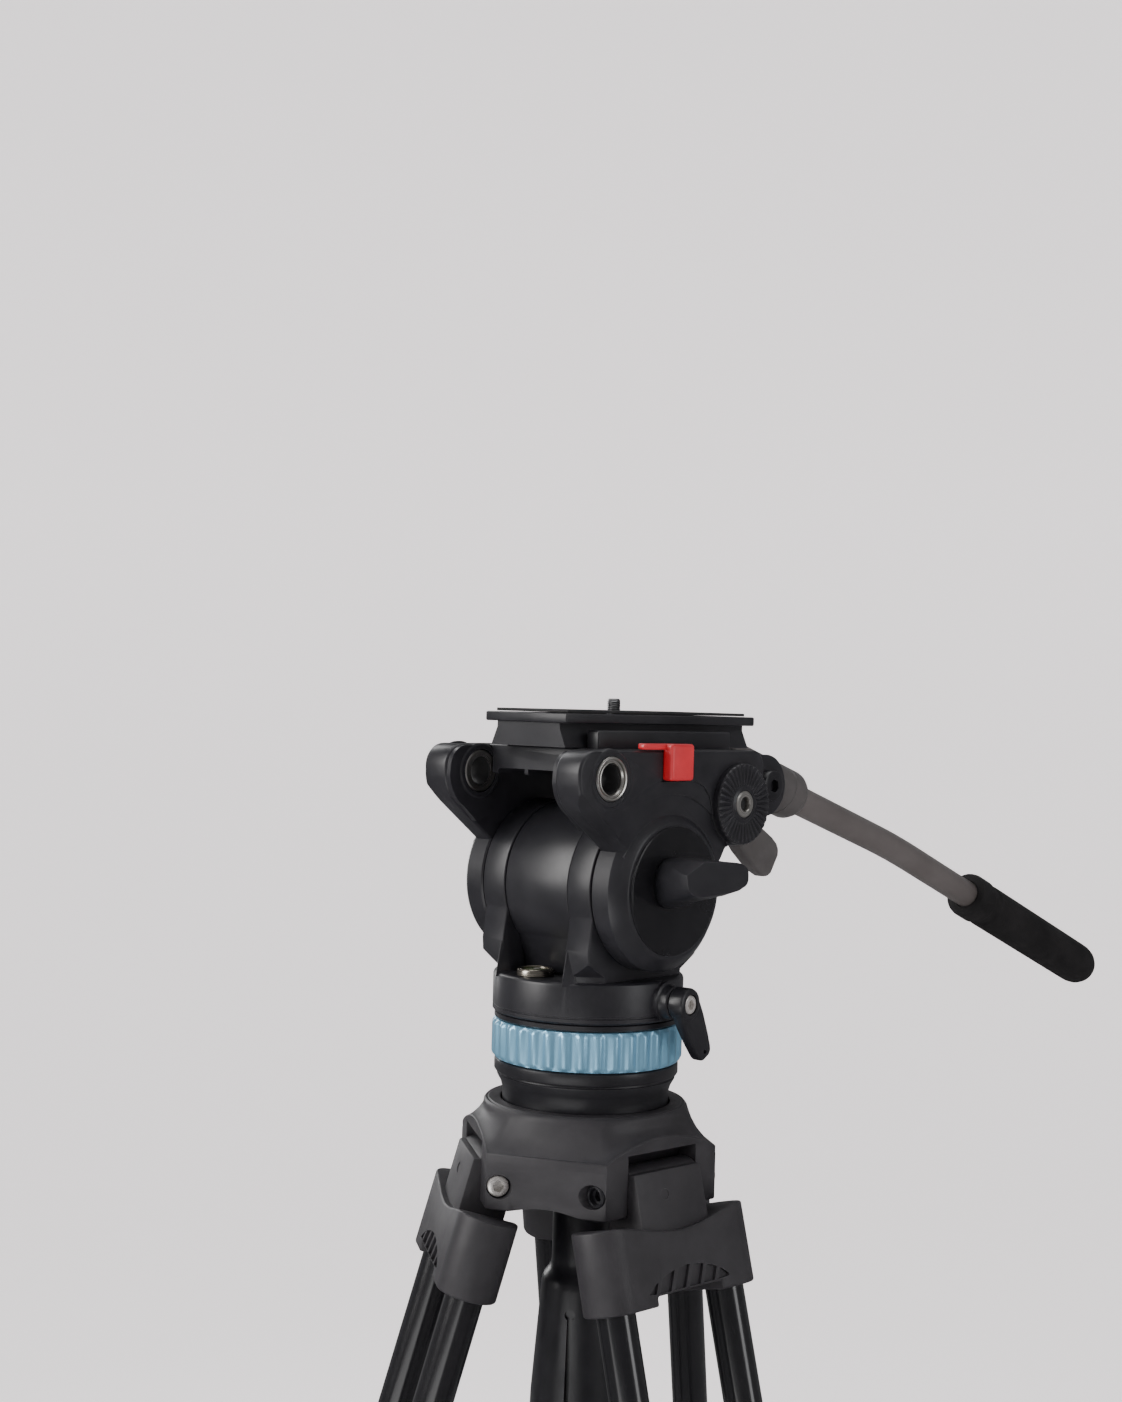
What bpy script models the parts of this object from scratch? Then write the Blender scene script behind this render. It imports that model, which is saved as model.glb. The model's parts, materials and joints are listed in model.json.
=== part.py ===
"""A twin-tube tripod with a 75 mm bowl and a fluid video head.

Frame: +Z up, origin on the floor under the middle of the object's box. The head looks along -Y
(towards the lens side of a camera), and the operator's left is +X. Lengths below are millimetres
and are turned into metres as the meshes are made. "h" is a depth below the head's platform top,
"p" is a distance forward of the tilt axis (so y = -p).
"""

import math

import bmesh
import bpy
from mathutils import Matrix, Vector

MM = 0.001

# ---------------------------------------------------------------- driving dimensions (mm)
AXIS_X, AXIS_Y = -61.59, -106.24  # where the bowl's axis stands in the object's frame
Z_TOP = 1034.0  # top of the head's platform
TILT_H = 61.0  # tilt axis below the platform top
BASE_TOP_H, BASE_BOTTOM_H = 101.0, 119.0  # pan housing's round base
RING_TOP_H, RING_BOTTOM_H = 122.5, 140.0  # fluted clamp ring
BOWL_H = 158.0  # centre of the half ball, level with the crown's mouth
HINGE_H = 189.0  # leg hinges

BASE_R = 43.0
DRUM_R = 35.4
CHEEK_R = 36.0
CHEEK_IN, CHEEK_OUT = 33.6, 48.0
EAR_IN = 31.5
EAR_P, EAR_H, EAR_R = 41.0, 12.0, 19.0
ROSETTE_P, ROSETTE_H, ROSETTE_R = -45.0, 24.0, 18.3
COVER_R = 28.3
ARM_P, ARM_H, ARM_R = -104.0, 18.0, 15.0  # rear arm that carries the pan bar
BAR_SLOPE = math.radians(17.6)
BAR_X = -6.0

BALL_R = 37.5
BOWL_R = 38.2
CROWN_R = 60.3  # corner radius of the crown's hexagon
CROWN_BOTTOM = Z_TOP - 199.0
CROWN_EDGE = Z_TOP - 172.0
HINGE_R = 45.0
LEG_AZIMUTHS = (-34.0, 86.0, 206.0)
LEG_LEAN = 15.5
TUBE_R = 8.5
TUBE_X = 33.0
TUBE_TOP, TUBE_END = -20.3, -570.0
COLLAR_TOP, COLLAR_BOTTOM = -530.0, -592.0
LOWER_R = 13.0
LOWER_TOP = -300.0

ZT = Z_TOP - TILT_H
ZC = Z_TOP - BOWL_H
ZH = Z_TOP - HINGE_H
LEAN = math.radians(LEG_LEAN)
FOOT_T = ZH / math.cos(LEAN)  # along the leg, from the hinge to the floor

# ---------------------------------------------------------------- scene and helpers
for old in list(bpy.data.objects):
    bpy.data.objects.remove(old, do_unlink=True)

PARTS = bpy.data.collections.new("fluid_head_tripod")
CUTTERS = bpy.data.collections.new("cutters")
bpy.context.scene.collection.children.link(PARTS)
bpy.context.scene.collection.children.link(CUTTERS)


def material(name, colour, roughness, metallic=0.0):
    made = bpy.data.materials.new(name)
    made.use_nodes = True
    shader = made.node_tree.nodes["Principled BSDF"]
    shader.inputs["Base Color"].default_value = (*colour, 1)
    shader.inputs["Roughness"].default_value = roughness
    shader.inputs["Metallic"].default_value = metallic
    return made


BLACK = material("satin_black_paint", (0.022, 0.022, 0.025), 0.45)
GLOSS = material("black_anodised_tube", (0.012, 0.012, 0.014), 0.25, 0.6)
GREY = material("grey_moulded_plastic", (0.05, 0.05, 0.053), 0.6)
BLUE = material("blue_anodised_aluminium", (0.16, 0.38, 0.62), 0.3, 0.9)
RED = material("red_plastic", (0.6, 0.03, 0.04), 0.4)
CHROME = material("bright_steel", (0.62, 0.6, 0.58), 0.2, 1.0)
STEEL = material("turned_steel", (0.35, 0.35, 0.36), 0.35, 1.0)
SATIN = material("satin_grey_metal", (0.16, 0.15, 0.15), 0.4, 0.5)
FOAM = material("black_foam", (0.035, 0.033, 0.035), 0.85)
RUBBER = material("black_rubber", (0.02, 0.02, 0.02), 0.8)
BRASS = material("brass", (0.6, 0.45, 0.2), 0.3, 1.0)


def new_object(name, mesh, group=PARTS):
    made = bpy.data.objects.new(name, mesh)
    group.objects.link(made)
    return made


def from_bmesh(name, bm):
    mesh = bpy.data.meshes.new(name)
    bm.to_mesh(mesh)
    bm.free()
    return new_object(name, mesh)


def bake(obj):
    """Puts the object's evaluated shape into its mesh, welded and without modifiers."""
    bpy.context.view_layer.update()
    graph = bpy.context.evaluated_depsgraph_get()
    mesh = bpy.data.meshes.new_from_object(obj.evaluated_get(graph))
    bm = bmesh.new()
    bm.from_mesh(mesh)
    bmesh.ops.remove_doubles(bm, verts=bm.verts, dist=2e-6)
    bm.to_mesh(mesh)
    bm.free()
    if obj.type == "CURVE":
        made = new_object(obj.name + "_mesh", mesh)
        made.matrix_world = obj.matrix_world
        name = obj.name
        bpy.data.objects.remove(obj, do_unlink=True)
        made.name = name
        return made
    obj.modifiers.clear()
    obj.data = mesh
    return obj


def move(obj, matrix):
    obj.data.transform(matrix)
    if matrix.determinant() < 0:
        obj.data.flip_normals()
    return obj


def box(name, x, y, z):
    """A box from its limits along each axis."""
    bm = bmesh.new()
    bmesh.ops.create_cube(bm, size=1.0)
    size = Vector(((x[1] - x[0]), (y[1] - y[0]), (z[1] - z[0]))) * MM
    middle = Vector(((x[1] + x[0]), (y[1] + y[0]), (z[1] + z[0]))) * (MM / 2)
    bmesh.ops.scale(bm, vec=size, verts=bm.verts)
    bmesh.ops.translate(bm, vec=middle, verts=bm.verts)
    return from_bmesh(name, bm)


TO_X = Matrix(((0, 0, 1, 0), (1, 0, 0, 0), (0, 1, 0, 0), (0, 0, 0, 1)))  # z -> x, x -> y, y -> z


def turned(name, profile, steps=28, closed=False):
    """A turned shape about +Z. The profile is (radius, z) pairs from the top down the outer side."""
    bm = bmesh.new()
    points = [bm.verts.new((r * MM, 0, z * MM)) for r, z in profile]
    pairs = list(zip(points, points[1:]))
    if closed:
        pairs.append((points[-1], points[0]))
    for a, b in pairs:
        bm.edges.new((a, b))
    obj = from_bmesh(name, bm)
    screw = obj.modifiers.new("Screw", "SCREW")
    screw.steps = screw.render_steps = steps
    screw.use_merge_vertices = True
    screw.merge_threshold = 1e-5
    screw.use_smooth_shade = True
    return bake(obj)


def cylinder(name, radius, z0, z1, steps=24):
    return turned(name, [(0, z1), (radius, z1), (radius, z0), (0, z0)], steps)


def ring(name, outer, inner, z0, z1, steps=28, edge=0.0):
    e = edge
    profile = [(inner, z1), (outer - e, z1), (outer, z1 - e), (outer, z0 + e), (outer - e, z0), (inner, z0)]
    if not e:
        profile = [(inner, z1), (outer, z1), (outer, z0), (inner, z0)]
    return turned(name, profile, steps, closed=True)


def plate(name, outline, x0, x1):
    """A flat outline of (p, h) points, as thick as x0 to x1."""
    return outline_solid(name, [(-p, Z_TOP - h) for p, h in outline], x0, x1)


def outline_solid(name, points, x0, x1):
    """A filled 2D curve in the YZ plane, extruded along X."""
    curve = bpy.data.curves.new(name, "CURVE")
    curve.dimensions = "2D"
    curve.fill_mode = "BOTH"
    curve.extrude = (x1 - x0) / 2 * MM
    spline = curve.splines.new("POLY")
    spline.points.add(len(points) - 1)
    for point, (u, v) in zip(spline.points, points):
        point.co = (u * MM, v * MM, 0, 1)
    spline.use_cyclic_u = True
    obj = bake(new_object(name, curve))
    bm = bmesh.new()
    bm.from_mesh(obj.data)
    bmesh.ops.dissolve_limit(bm, angle_limit=0.002, verts=bm.verts, edges=bm.edges)
    bmesh.ops.recalc_face_normals(bm, faces=bm.faces)
    bm.to_mesh(obj.data)
    bm.free()
    return move(obj, Matrix.Translation(((x0 + x1) / 2 * MM, 0, 0)) @ TO_X)


def prism(name, points, z0, z1):
    """A filled outline of (x, y) points, from z0 up to z1."""
    made = outline_solid(name, points, z0, z1)
    return move(made, TO_X.inverted())


def round_ends(half, radius, bulge=0.0, n=8):
    """An outline with a round end at x = -half and at half, and a round bulge in the middle."""
    turn = math.degrees(math.asin((radius + 0.5) / bulge)) if bulge else 0
    points = [(half + radius * math.cos(math.radians(a)), radius * math.sin(math.radians(a))) for a in [-90 + 180 * i / n for i in range(n + 1)]]
    if bulge:
        points += [(bulge * math.cos(math.radians(a)), bulge * math.sin(math.radians(a))) for a in [turn + (180 - 2 * turn) * i / n for i in range(n + 1)]]
    return points + [(-x, -y) for x, y in points]


def boolean(obj, others, operation="DIFFERENCE"):
    """Cuts or joins the object with the others, which are used up."""
    for other in others:
        CUTTERS.objects.link(other)
        PARTS.objects.unlink(other)
        other.hide_render = True
        other.display_type = "WIRE"
        step = obj.modifiers.new(operation.lower(), "BOOLEAN")
        step.operation = operation
        step.solver = "EXACT"
        step.object = other
    bake(obj)
    for other in others:
        bpy.data.objects.remove(other, do_unlink=True)
    return obj


def bevelled(obj, width, segments=1, angle=35):
    step = obj.modifiers.new("Bevel", "BEVEL")
    step.width = width * MM
    step.segments = segments
    step.limit_method = "ANGLE"
    step.angle_limit = math.radians(angle)
    return bake(obj)


def arc(p, h, r, a0, a1, n):
    """Points on a circle in the (p, h) plane; angle 0 is forward and 90 is down."""
    return [
        (p + r * math.cos(math.radians(a0 + (a1 - a0) * i / n)), h + r * math.sin(math.radians(a0 + (a1 - a0) * i / n)))
        for i in range(n + 1)
    ]


def shift(x=0.0, y=0.0, z=0.0):
    return Matrix.Translation((x * MM, y * MM, z * MM))


def along_x(obj, p, h):
    """Turns a piece made about +Z to lie along +X, centred on (p, h)."""
    return move(obj, shift(0, -p, Z_TOP - h) @ TO_X)


def empty(name, where, parent=None, turn=(0, 0, 0)):
    made = bpy.data.objects.new(name, None)
    PARTS.objects.link(made)
    made.empty_display_size = 0.02
    made.location = Vector(where) * MM
    made.rotation_euler = turn
    made.parent = parent
    return made


ROOT = empty("tripod_axis", (AXIS_X, AXIS_Y, 0))


def finish(obj, mat, pivot=(0, 0, 0), parent=None, smooth=32):
    """Puts the origin at the pivot (in the tripod's axes, or the leg's own), and sets the material."""
    obj.data.transform(shift(-pivot[0], -pivot[1], -pivot[2]))
    obj.location = Vector(pivot) * MM
    obj.parent = parent or ROOT
    obj.data.materials.clear()
    obj.data.materials.append(mat)
    for face in obj.data.polygons:
        face.use_smooth = True
    obj.data.set_sharp_from_angle(angle=math.radians(smooth))
    return obj


def mirrored(obj, name):
    made = new_object(name, obj.data.copy())
    return move(made, Matrix.Diagonal((-1, 1, 1, 1)))


# ---------------------------------------------------------------- pan housing, drum, shaft
TILT = (0, 0, ZT)
base_z0, base_z1 = Z_TOP - BASE_BOTTOM_H, Z_TOP - BASE_TOP_H
housing = turned(
    "pan_housing",
    [(0, base_z1), (BASE_R - 1.2, base_z1), (BASE_R, base_z1 - 1.2), (BASE_R, base_z0 + 0.8), (BASE_R - 0.8, base_z0), (0, base_z0)],
    36,
)
wall_outline = arc(0, TILT_H, CHEEK_R, -200, 20, 16) + [(35.5, BASE_TOP_H - 12), (34, BASE_TOP_H + 2), (-34, BASE_TOP_H + 2), (-35.5, BASE_TOP_H - 12)]
envelope_profile = [(0, ZT + 60), (60, ZT + 60), (60, base_z1 + 18), (BASE_R - 1.5, base_z1 + 1), (BASE_R - 1.5, base_z1 - 6), (0, base_z1 - 6)]
for side in (-1, 1):
    x = sorted((side * 19.3, side * 33.0))
    wall = plate("wall", wall_outline, x[0], x[1])
    boolean(wall, [turned("envelope", envelope_profile, 36)], "INTERSECT")
    boolean(housing, [wall], "UNION")
boss_turn = math.radians(95.0)
boss_direction = Vector((math.sin(boss_turn), -math.cos(boss_turn), 0))
BOSS_Z = Z_TOP - 110.0


def radial(obj, azimuth, z):
    """Turns a piece made along +X to point outward at an azimuth measured from -Y towards +X."""
    return move(obj, shift(0, 0, z) @ Matrix.Rotation(math.radians(azimuth - 90.0), 4, "Z"))


boss = radial(move(cylinder("boss", 7.2, 36, 49.0, 24), TO_X), 95.0, BOSS_Z)
boolean(housing, [boss], "UNION")
boolean(
    housing,
    [
        along_x(cylinder("shaft_bore", 6.3, -40, 40, 24), 0, TILT_H),
        cylinder("spindle_bore", 8.3, base_z0 - 5, base_z0 + 12.3, 24),
        radial(move(cylinder("lock_bore", 2.8, 42, 60, 16), TO_X), 95.0, BOSS_Z),
    ],
)
finish(housing, BLACK)

drum_outline = arc(0, TILT_H, DRUM_R, -225, 45, 24) + [(21, BASE_TOP_H - 0.3), (-21, BASE_TOP_H - 0.3)]
drum = plate("tilt_drum", drum_outline, -19.0, 19.0)
boolean(drum, [along_x(cylinder("shaft_bore", 6.3, -40, 40, 24), 0, TILT_H)])
finish(drum, BLACK)

finish(along_x(cylinder("tilt_shaft", 6.0, -44.0, 44.0, 24), 0, TILT_H), STEEL, TILT)
finish(cylinder("pan_spindle", 8.0, ZC + 4.0, base_z0 + 12.0, 24), STEEL)

vial = turned("level_vial", [(0, base_z1 + 2.0), (5.6, base_z1 + 2.0), (6.2, base_z1 + 3.0), (7.6, base_z1 + 3.0), (8.2, base_z1 + 2.2), (8.2, base_z1 + 0.3), (0, base_z1 + 0.3)], 20)
move(vial, shift(-2.0, -32.2, 0))
finish(vial, BRASS)

# pan lock lever: a stem in the boss, a round hub and a tapered blade that hangs down
lever = cylinder("pan_lock_lever", 2.5, 43.0, 52.0, 16)
hub = turned("hub", [(0, 57.5), (6.2, 57.5), (7.2, 56.5), (7.2, 49.4), (0, 49.4)], 24)
boolean(lever, [hub], "UNION")
move(lever, TO_X)
blade = outline_solid("blade", [(-6.4, 3), (-7.0, -9), (-4.9, -25), (-2.4, -27.6), (2.4, -27.6), (4.9, -25), (7.0, -9), (6.4, 3)], 50.2, 56.6)
move(blade, Matrix.Rotation(math.radians(28.0), 4, "X"))
boolean(lever, [blade], "UNION")
radial(lever, 95.0, BOSS_Z)
finish(lever, BLACK, tuple(boss_direction * 50.0 + Vector((0, 0, BOSS_Z))))

# ---------------------------------------------------------------- tilting part
cheek_outline = (
    arc(50, 10, 10, -90, 0, 5)
    + arc(EAR_P, EAR_H, EAR_R, 6, 56, 6)
    + arc(0, TILT_H, CHEEK_R, -24, 206, 22)
    + [(-38, 43.0)]
    + arc(ROSETTE_P, ROSETTE_H, ROSETTE_R, 96, 180, 7)
    + [(-63.3, 12), (-62, 5), (-60, 1.5), (-57, 0)]
)
cheek = plate("left_cheek", cheek_outline, CHEEK_IN, CHEEK_OUT)
ear_outline = arc(49.6, 10, 9.4, -86, 0, 5) + arc(EAR_P, EAR_H, EAR_R - 0.6, 6, 60, 6) + [(42.5, 34.5), (34.6, 32.0), (34.6, 0.62)]
ear = plate("ear", ear_outline, EAR_IN, CHEEK_IN + 1.0)
boolean(cheek, [ear], "UNION")
cuts = [
    along_x(cylinder("ear_bore", 9.8, 20, 60, 18), EAR_P, EAR_H),
    along_x(cylinder("shaft_bore", 6.3, 20, 44.4, 24), 0, TILT_H),
    along_x(cylinder("rosette_bore", 3.2, 40, 60, 16), ROSETTE_P, ROSETTE_H),
]
boolean(cheek, cuts)
right_cheek = mirrored(cheek, "right_cheek")
boolean(
    cheek,
    [
        box("button_pocket", (43.8, 60), (-8.1, 8.1), (Z_TOP - 13.6, Z_TOP + 20)),
        along_x(cylinder("knob_bore", 4.6, 44.0, 60, 20), 0, TILT_H),
    ],
)
boolean(right_cheek, [along_x(cylinder("lock_bore", 3.3, -60, -20, 16), -12.0, 7.0)])
finish(cheek, BLACK, TILT)
finish(right_cheek, BLACK, TILT)

deck = box("platform", (-33.3, 33.3), (-34.3, 58.0), (Z_TOP - 13.0, Z_TOP))
bevelled(deck, 0.8, 1)
for side in (-1, 1):
    low, high = (22.8, 30.2) if side > 0 else (-30.2, -22.8)
    jaw = box("jaw", (low, high), (-30.0, 60.0), (Z_TOP - 1.0, Z_TOP + 8.0))
    boolean(deck, [jaw], "UNION")
boolean(deck, [along_x(cylinder("bushing_room", 9.8, x0, x1, 18), EAR_P, EAR_H) for x0, x1 in ((-36, -30.7), (30.7, 36))])
arm_outline = arc(ARM_P, ARM_H, ARM_R, 90, 270, 16) + [(-80, 3.0), (-56, 1.5), (-56, 12.0), (-84, 30.0)]
arm = plate("bar_arm", arm_outline, 7.3, 18.0)
boolean(arm, [along_x(cylinder("pivot_bore", 4.3, 0, 30, 20), ARM_P, ARM_H)])
boolean(arm, [box("deck_room", (0, 30), (40.0, 58.3), (Z_TOP - 14, Z_TOP + 20))])
boolean(arm, [box("top_room", (0, 30), (40.0, 60.3), (Z_TOP - 0.4, Z_TOP + 20))])
finish(deck, BLACK, TILT)
finish(arm, BLACK, TILT)

finish(along_x(ring("left_bushing", 9.5, 5.8, 31.0, 48.6, 18), EAR_P, EAR_H), CHROME, TILT)
finish(along_x(ring("right_bushing", 9.5, 5.8, -48.6, -31.0, 18), EAR_P, EAR_H), CHROME, TILT)
finish(along_x(ring("left_rosette", ROSETTE_R, 4.6, 48.3, 52.0, 22), ROSETTE_P, ROSETTE_H), BLACK, TILT)
finish(along_x(ring("right_rosette", ROSETTE_R, 4.6, -52.0, -48.3, 22), ROSETTE_P, ROSETTE_H), BLACK, TILT)
finish(along_x(ring("left_cover", COVER_R, 7.0, 48.3, 50.2, 28), 0, TILT_H), BLACK, TILT)
finish(along_x(turned("right_cover", [(0, -48.3), (COVER_R, -48.3), (COVER_R, -49.8), (COVER_R - 0.4, -50.2), (0, -50.2)], 28), 0, TILT_H), BLACK, TILT)

button = box("safety_button", (47.0, 53.0), (-7.6, 7.6), (Z_TOP - 13.0, Z_TOP + 3.0))
bevelled(button, 1.0, 2)
stem = box("stem", (44.4 + 2.6, 49.5), (-7.0, 7.0), (Z_TOP - 12.0, Z_TOP - 2.0))
boolean(button, [stem], "UNION")
lip = box("lip", (45.0, 49.4), (-21.5, 0.0), (Z_TOP + 0.4, Z_TOP + 3.0))
boolean(button, [lip], "UNION")
finish(button, RED, (50, 0, Z_TOP - 5))

# tilt lock knob: a round root on the cover that flattens into a paddle, slightly off its axis
bm = bmesh.new()
sections = []
SECTIONS = (
    (50.6, 4.0, 57.2, 9.9, 11.0, 2.4),
    (55.0, 5.0, 56.4, 10.8, 10.8, 2.8),
    (66.0, 7.6, 54.4, 11.7, 9.4, 3.4),
    (82.0, 10.4, 52.5, 12.0, 7.2, 3.8),
    (90.0, 11.6, 51.0, 11.2, 5.6, 3.6),
    (92.4, 11.9, 50.5, 9.6, 4.2, 3.4),
)
for x, p, h, half_p, half_h, power in SECTIONS:
    loop = []
    for i in range(24):
        t = math.tau * i / 24
        c, s = math.cos(t), math.sin(t)
        k = (abs(c) ** power + abs(s) ** power) ** (-1 / power)
        loop.append(bm.verts.new((x * MM, (-p - half_p * k * c) * MM, (Z_TOP - h + half_h * k * s) * MM)))
    sections.append(loop)
for a, b in zip(sections, sections[1:]):
    for i in range(24):
        j = (i + 1) % 24
        bm.faces.new((a[i], a[j], b[j], b[i]))
bm.faces.new(list(reversed(sections[0])))
bm.faces.new(sections[-1])
bmesh.ops.recalc_face_normals(bm, faces=bm.faces)
knob = from_bmesh("tilt_lock_knob", bm)
boolean(knob, [along_x(cylinder("knob_stem", 4.2, 45.0, 55.0, 20), 0, TILT_H)], "UNION")
finish(knob, BLACK, (50, 0, ZT))

# plate lock knob on the right cheek
lock = turned("plate_lock_knob", [(0, 66.0), (8.0, 66.0), (9.0, 65.0), (9.0, 51.0), (3.0, 50.5), (3.0, 36.0), (0, 36.0)], 24)
move(lock, Matrix.Rotation(math.pi, 4, "X"))
along_x(lock, -12.0, 7.0)
finish(lock, BLACK, (-50, 12.0, Z_TOP - 7.0))

# ---------------------------------------------------------------- camera plate
PLATE_Y = (-45.0, 84.0)
flange = box("camera_plate", (-25.0, 25.0), PLATE_Y, (Z_TOP + 10.8, Z_TOP + 15.0))
bevelled(flange, 0.6, 1)
dovetail = outline_solid("dovetail", [(-22.5, 0.3), (22.5, 0.3), (22.5, 1.0), (19.2, 8.3), (19.2, 11.5), (-19.2, 11.5), (-19.2, 8.3), (-22.5, 1.0)], PLATE_Y[0] + 2, PLATE_Y[1] - 2)
move(dovetail, shift(0, 0, Z_TOP) @ Matrix.Rotation(math.radians(90.0), 4, "Z"))
boolean(flange, [dovetail], "UNION")
boolean(flange, [move(box("slot", (-3.5, 3.5), (-25, 62), (Z_TOP - 5, Z_TOP + 30)), Matrix.Identity(4)), box("slot_floor", (-8.5, 8.5), (-30, 67), (Z_TOP - 5, Z_TOP + 8.0))])
finish(flange, BLACK)

pad = box("plate_pad", (-22.0, 22.0), (PLATE_Y[0] + 4, PLATE_Y[1] - 4), (Z_TOP + 15.3, Z_TOP + 16.6))
boolean(pad, [box("pad_slot", (-5.0, 5.0), (-27, 64), (Z_TOP + 10, Z_TOP + 20))])
finish(pad, RUBBER)

screw = turned("camera_screw", [(0, 22.0), (2.6, 22.0), (3.1, 21.4), (3.1, 7.7), (7.9, 7.7), (7.9, 3.1), (0, 3.1)], 20)
move(screw, shift(0, 12.0, Z_TOP))
boolean(screw, [box("coin_slot", (-10, 10), (11.2, 12.8), (Z_TOP, Z_TOP + 4.6))])
finish(screw, STEEL)

# ---------------------------------------------------------------- pan bar
slope = Matrix.Rotation(-BAR_SLOPE, 4, "X")  # tips the rear (+Y) end down
PIVOT_Y, PIVOT_Z = -ARM_P, Z_TOP - ARM_H
BAR_UP = 8.2  # the bar's line passes this far above the clamp's pivot
clamp_at = shift(0, PIVOT_Y, PIVOT_Z) @ slope


def bar_piece(obj):
    """Turns a piece made about +Z, with z along the bar, into place on the bar's line."""
    return move(obj, clamp_at @ shift(BAR_X, 0, BAR_UP) @ Matrix.Rotation(-math.pi / 2, 4, "X"))


clamp = bar_piece(turned("bar_clamp", [(0, 51.0), (11.0, 51.0), (12.6, 49.0), (12.6, -13.0), (11.6, -14.0), (0, -14.0)], 20))
disc = move(cylinder("disc", 14.6, -18.6, 7.0, 20), clamp_at @ TO_X)
boolean(clamp, [disc], "UNION")
# the wing knob's screw enters a lug under the disc, 14.6 degrees below the bar's line
KNOB_AT = clamp_at @ shift(BAR_X, 7.5, -18.8) @ Matrix.Rotation(math.radians(75.4), 4, "X")
lug = move(box("lug", (-5.8, 5.8), (-5.8, 5.8), (0.0, 15.0)), KNOB_AT)
boolean(clamp, [lug], "UNION")
boolean(
    clamp,
    [
        bar_piece(cylinder("tube_bore", 7.8, 5.4, 60.0, 16)),
        move(cylinder("pivot_bolt_bore", 4.3, 2.1, 12.0, 16), clamp_at @ TO_X),
    ],
)
boolean(clamp, [move(cylinder("screw_bore", 2.6, -2.0, 8.0, 12), KNOB_AT)])
finish(clamp, SATIN, (0, PIVOT_Y, PIVOT_Z))

finish(move(turned("bar_pivot_bolt", [(0, 22.6), (6.8, 22.6), (7.5, 21.8), (7.5, 18.3), (4.0, 18.3), (4.0, 2.4), (0, 2.4)], 16), shift(0, PIVOT_Y, PIVOT_Z) @ TO_X), STEEL, (0, PIVOT_Y, PIVOT_Z))

wing = turned("bar_knob", [(0, 7.0), (2.3, 7.0), (2.3, -0.3), (5.0, -0.6), (5.6, -1.4), (5.6, -8.0), (4.6, -10.0), (0, -10.0)], 16)
blade = outline_solid("wing_blade", [(-6.0, -3.0), (-8.0, -12.0), (-9.5, -26.0), (-8.6, -32.0), (-5.0, -36.0), (5.0, -36.0), (8.6, -32.0), (9.5, -26.0), (8.0, -12.0), (6.0, -3.0)], -4.4, 4.4)
bevelled(blade, 1.4, 1)
boolean(wing, [blade], "UNION")
knob_mesh = move(wing, KNOB_AT)
finish(knob_mesh, SATIN, tuple(KNOB_AT.translation / MM))

BEND_FROM, BEND_LENGTH, BEND = 127.0, 40.0, math.radians(3.7)
GRIP_FROM, GRIP_LENGTH, TUBE_INSIDE = 229.0, 148.0, 116.0
line = [(6.0, 0.0), (60.0, 0.0), (BEND_FROM, 0.0)]
for i in range(1, 5):
    t = BEND * i / 4
    line.append((BEND_FROM + BEND_LENGTH / BEND * math.sin(t), -BEND_LENGTH / BEND * (1 - math.cos(t))))
bend_end = line[-1]


def along_bar(s):
    """A point (along, up) on the straight stretch behind the bend, s from the clamp's pivot."""
    rest = s - BEND_FROM - BEND_LENGTH
    return bend_end[0] + rest * math.cos(BEND), bend_end[1] - rest * math.sin(BEND)


line.append(along_bar(GRIP_FROM + TUBE_INSIDE))
curve = bpy.data.curves.new("pan_bar", "CURVE")
curve.dimensions = "3D"
curve.bevel_depth = 7.5 * MM
curve.bevel_resolution = 3
curve.use_fill_caps = True
spline = curve.splines.new("POLY")
spline.points.add(len(line) - 1)
for point, (s, up) in zip(spline.points, line):
    point.co = (BAR_X * MM, s * MM, (BAR_UP + up) * MM, 1)
tube = move(bake(new_object("pan_bar", curve)), clamp_at)
finish(tube, SATIN, (0, PIVOT_Y, PIVOT_Z))

grip = turned(
    "bar_grip",
    [(0, GRIP_LENGTH), (6.5, GRIP_LENGTH), (10.2, GRIP_LENGTH - 2.6), (12.2, GRIP_LENGTH - 8.0), (12.5, GRIP_LENGTH - 16.0), (12.5, 20.0), (11.8, 18.0), (11.8, 14.0), (13.0, 12.0), (13.0, 3.0), (12.0, 0.5), (7.8, 0.0), (7.8, TUBE_INSIDE + 0.3), (0, TUBE_INSIDE + 0.3)],
    18,
)
grip_at = along_bar(GRIP_FROM)
move(grip, clamp_at @ shift(BAR_X, grip_at[0], BAR_UP + grip_at[1]) @ Matrix.Rotation(-BEND, 4, "X") @ Matrix.Rotation(-math.pi / 2, 4, "X"))
finish(grip, FOAM, (0, PIVOT_Y, PIVOT_Z))

# ---------------------------------------------------------------- clamp ring, half ball, tie-down
ring_z0, ring_z1 = Z_TOP - RING_BOTTOM_H, Z_TOP - RING_TOP_H
finish(ring("seat_ring", 42.0, 29.4, ring_z1 + 0.3, base_z0 - 0.3, 28), BLACK)
finish(ring("clamp_ring", BASE_R, 29.4, ring_z0, ring_z1, 36, 1.2), BLUE)

steps = 6
sphere = [(BALL_R * math.cos(t), ZC - BALL_R * math.sin(t)) for t in [math.radians(54.1) * i / steps for i in range(steps + 1)]]
ball = turned(
    "half_ball",
    [(8.3, base_z0 - 0.4), (28.6, base_z0 - 0.4), (29.1, base_z0 - 0.9), (29.1, ring_z0 - 0.3), (40.6, ring_z0 - 0.3), (41.5, ring_z0 - 1.2), (41.5, ring_z0 - 6.0), (40.6, ring_z0 - 7.0), (38.4, ZC + 7.0), (37.45, ZC + 2.0)]
    + sphere
    + [(5.3, ZC - 30.38), (5.3, ZC - 19.0), (8.3, ZC - 19.0)],
    28,
    closed=True,
)
finish(ball, BLACK, (0, 0, ZC))


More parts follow.
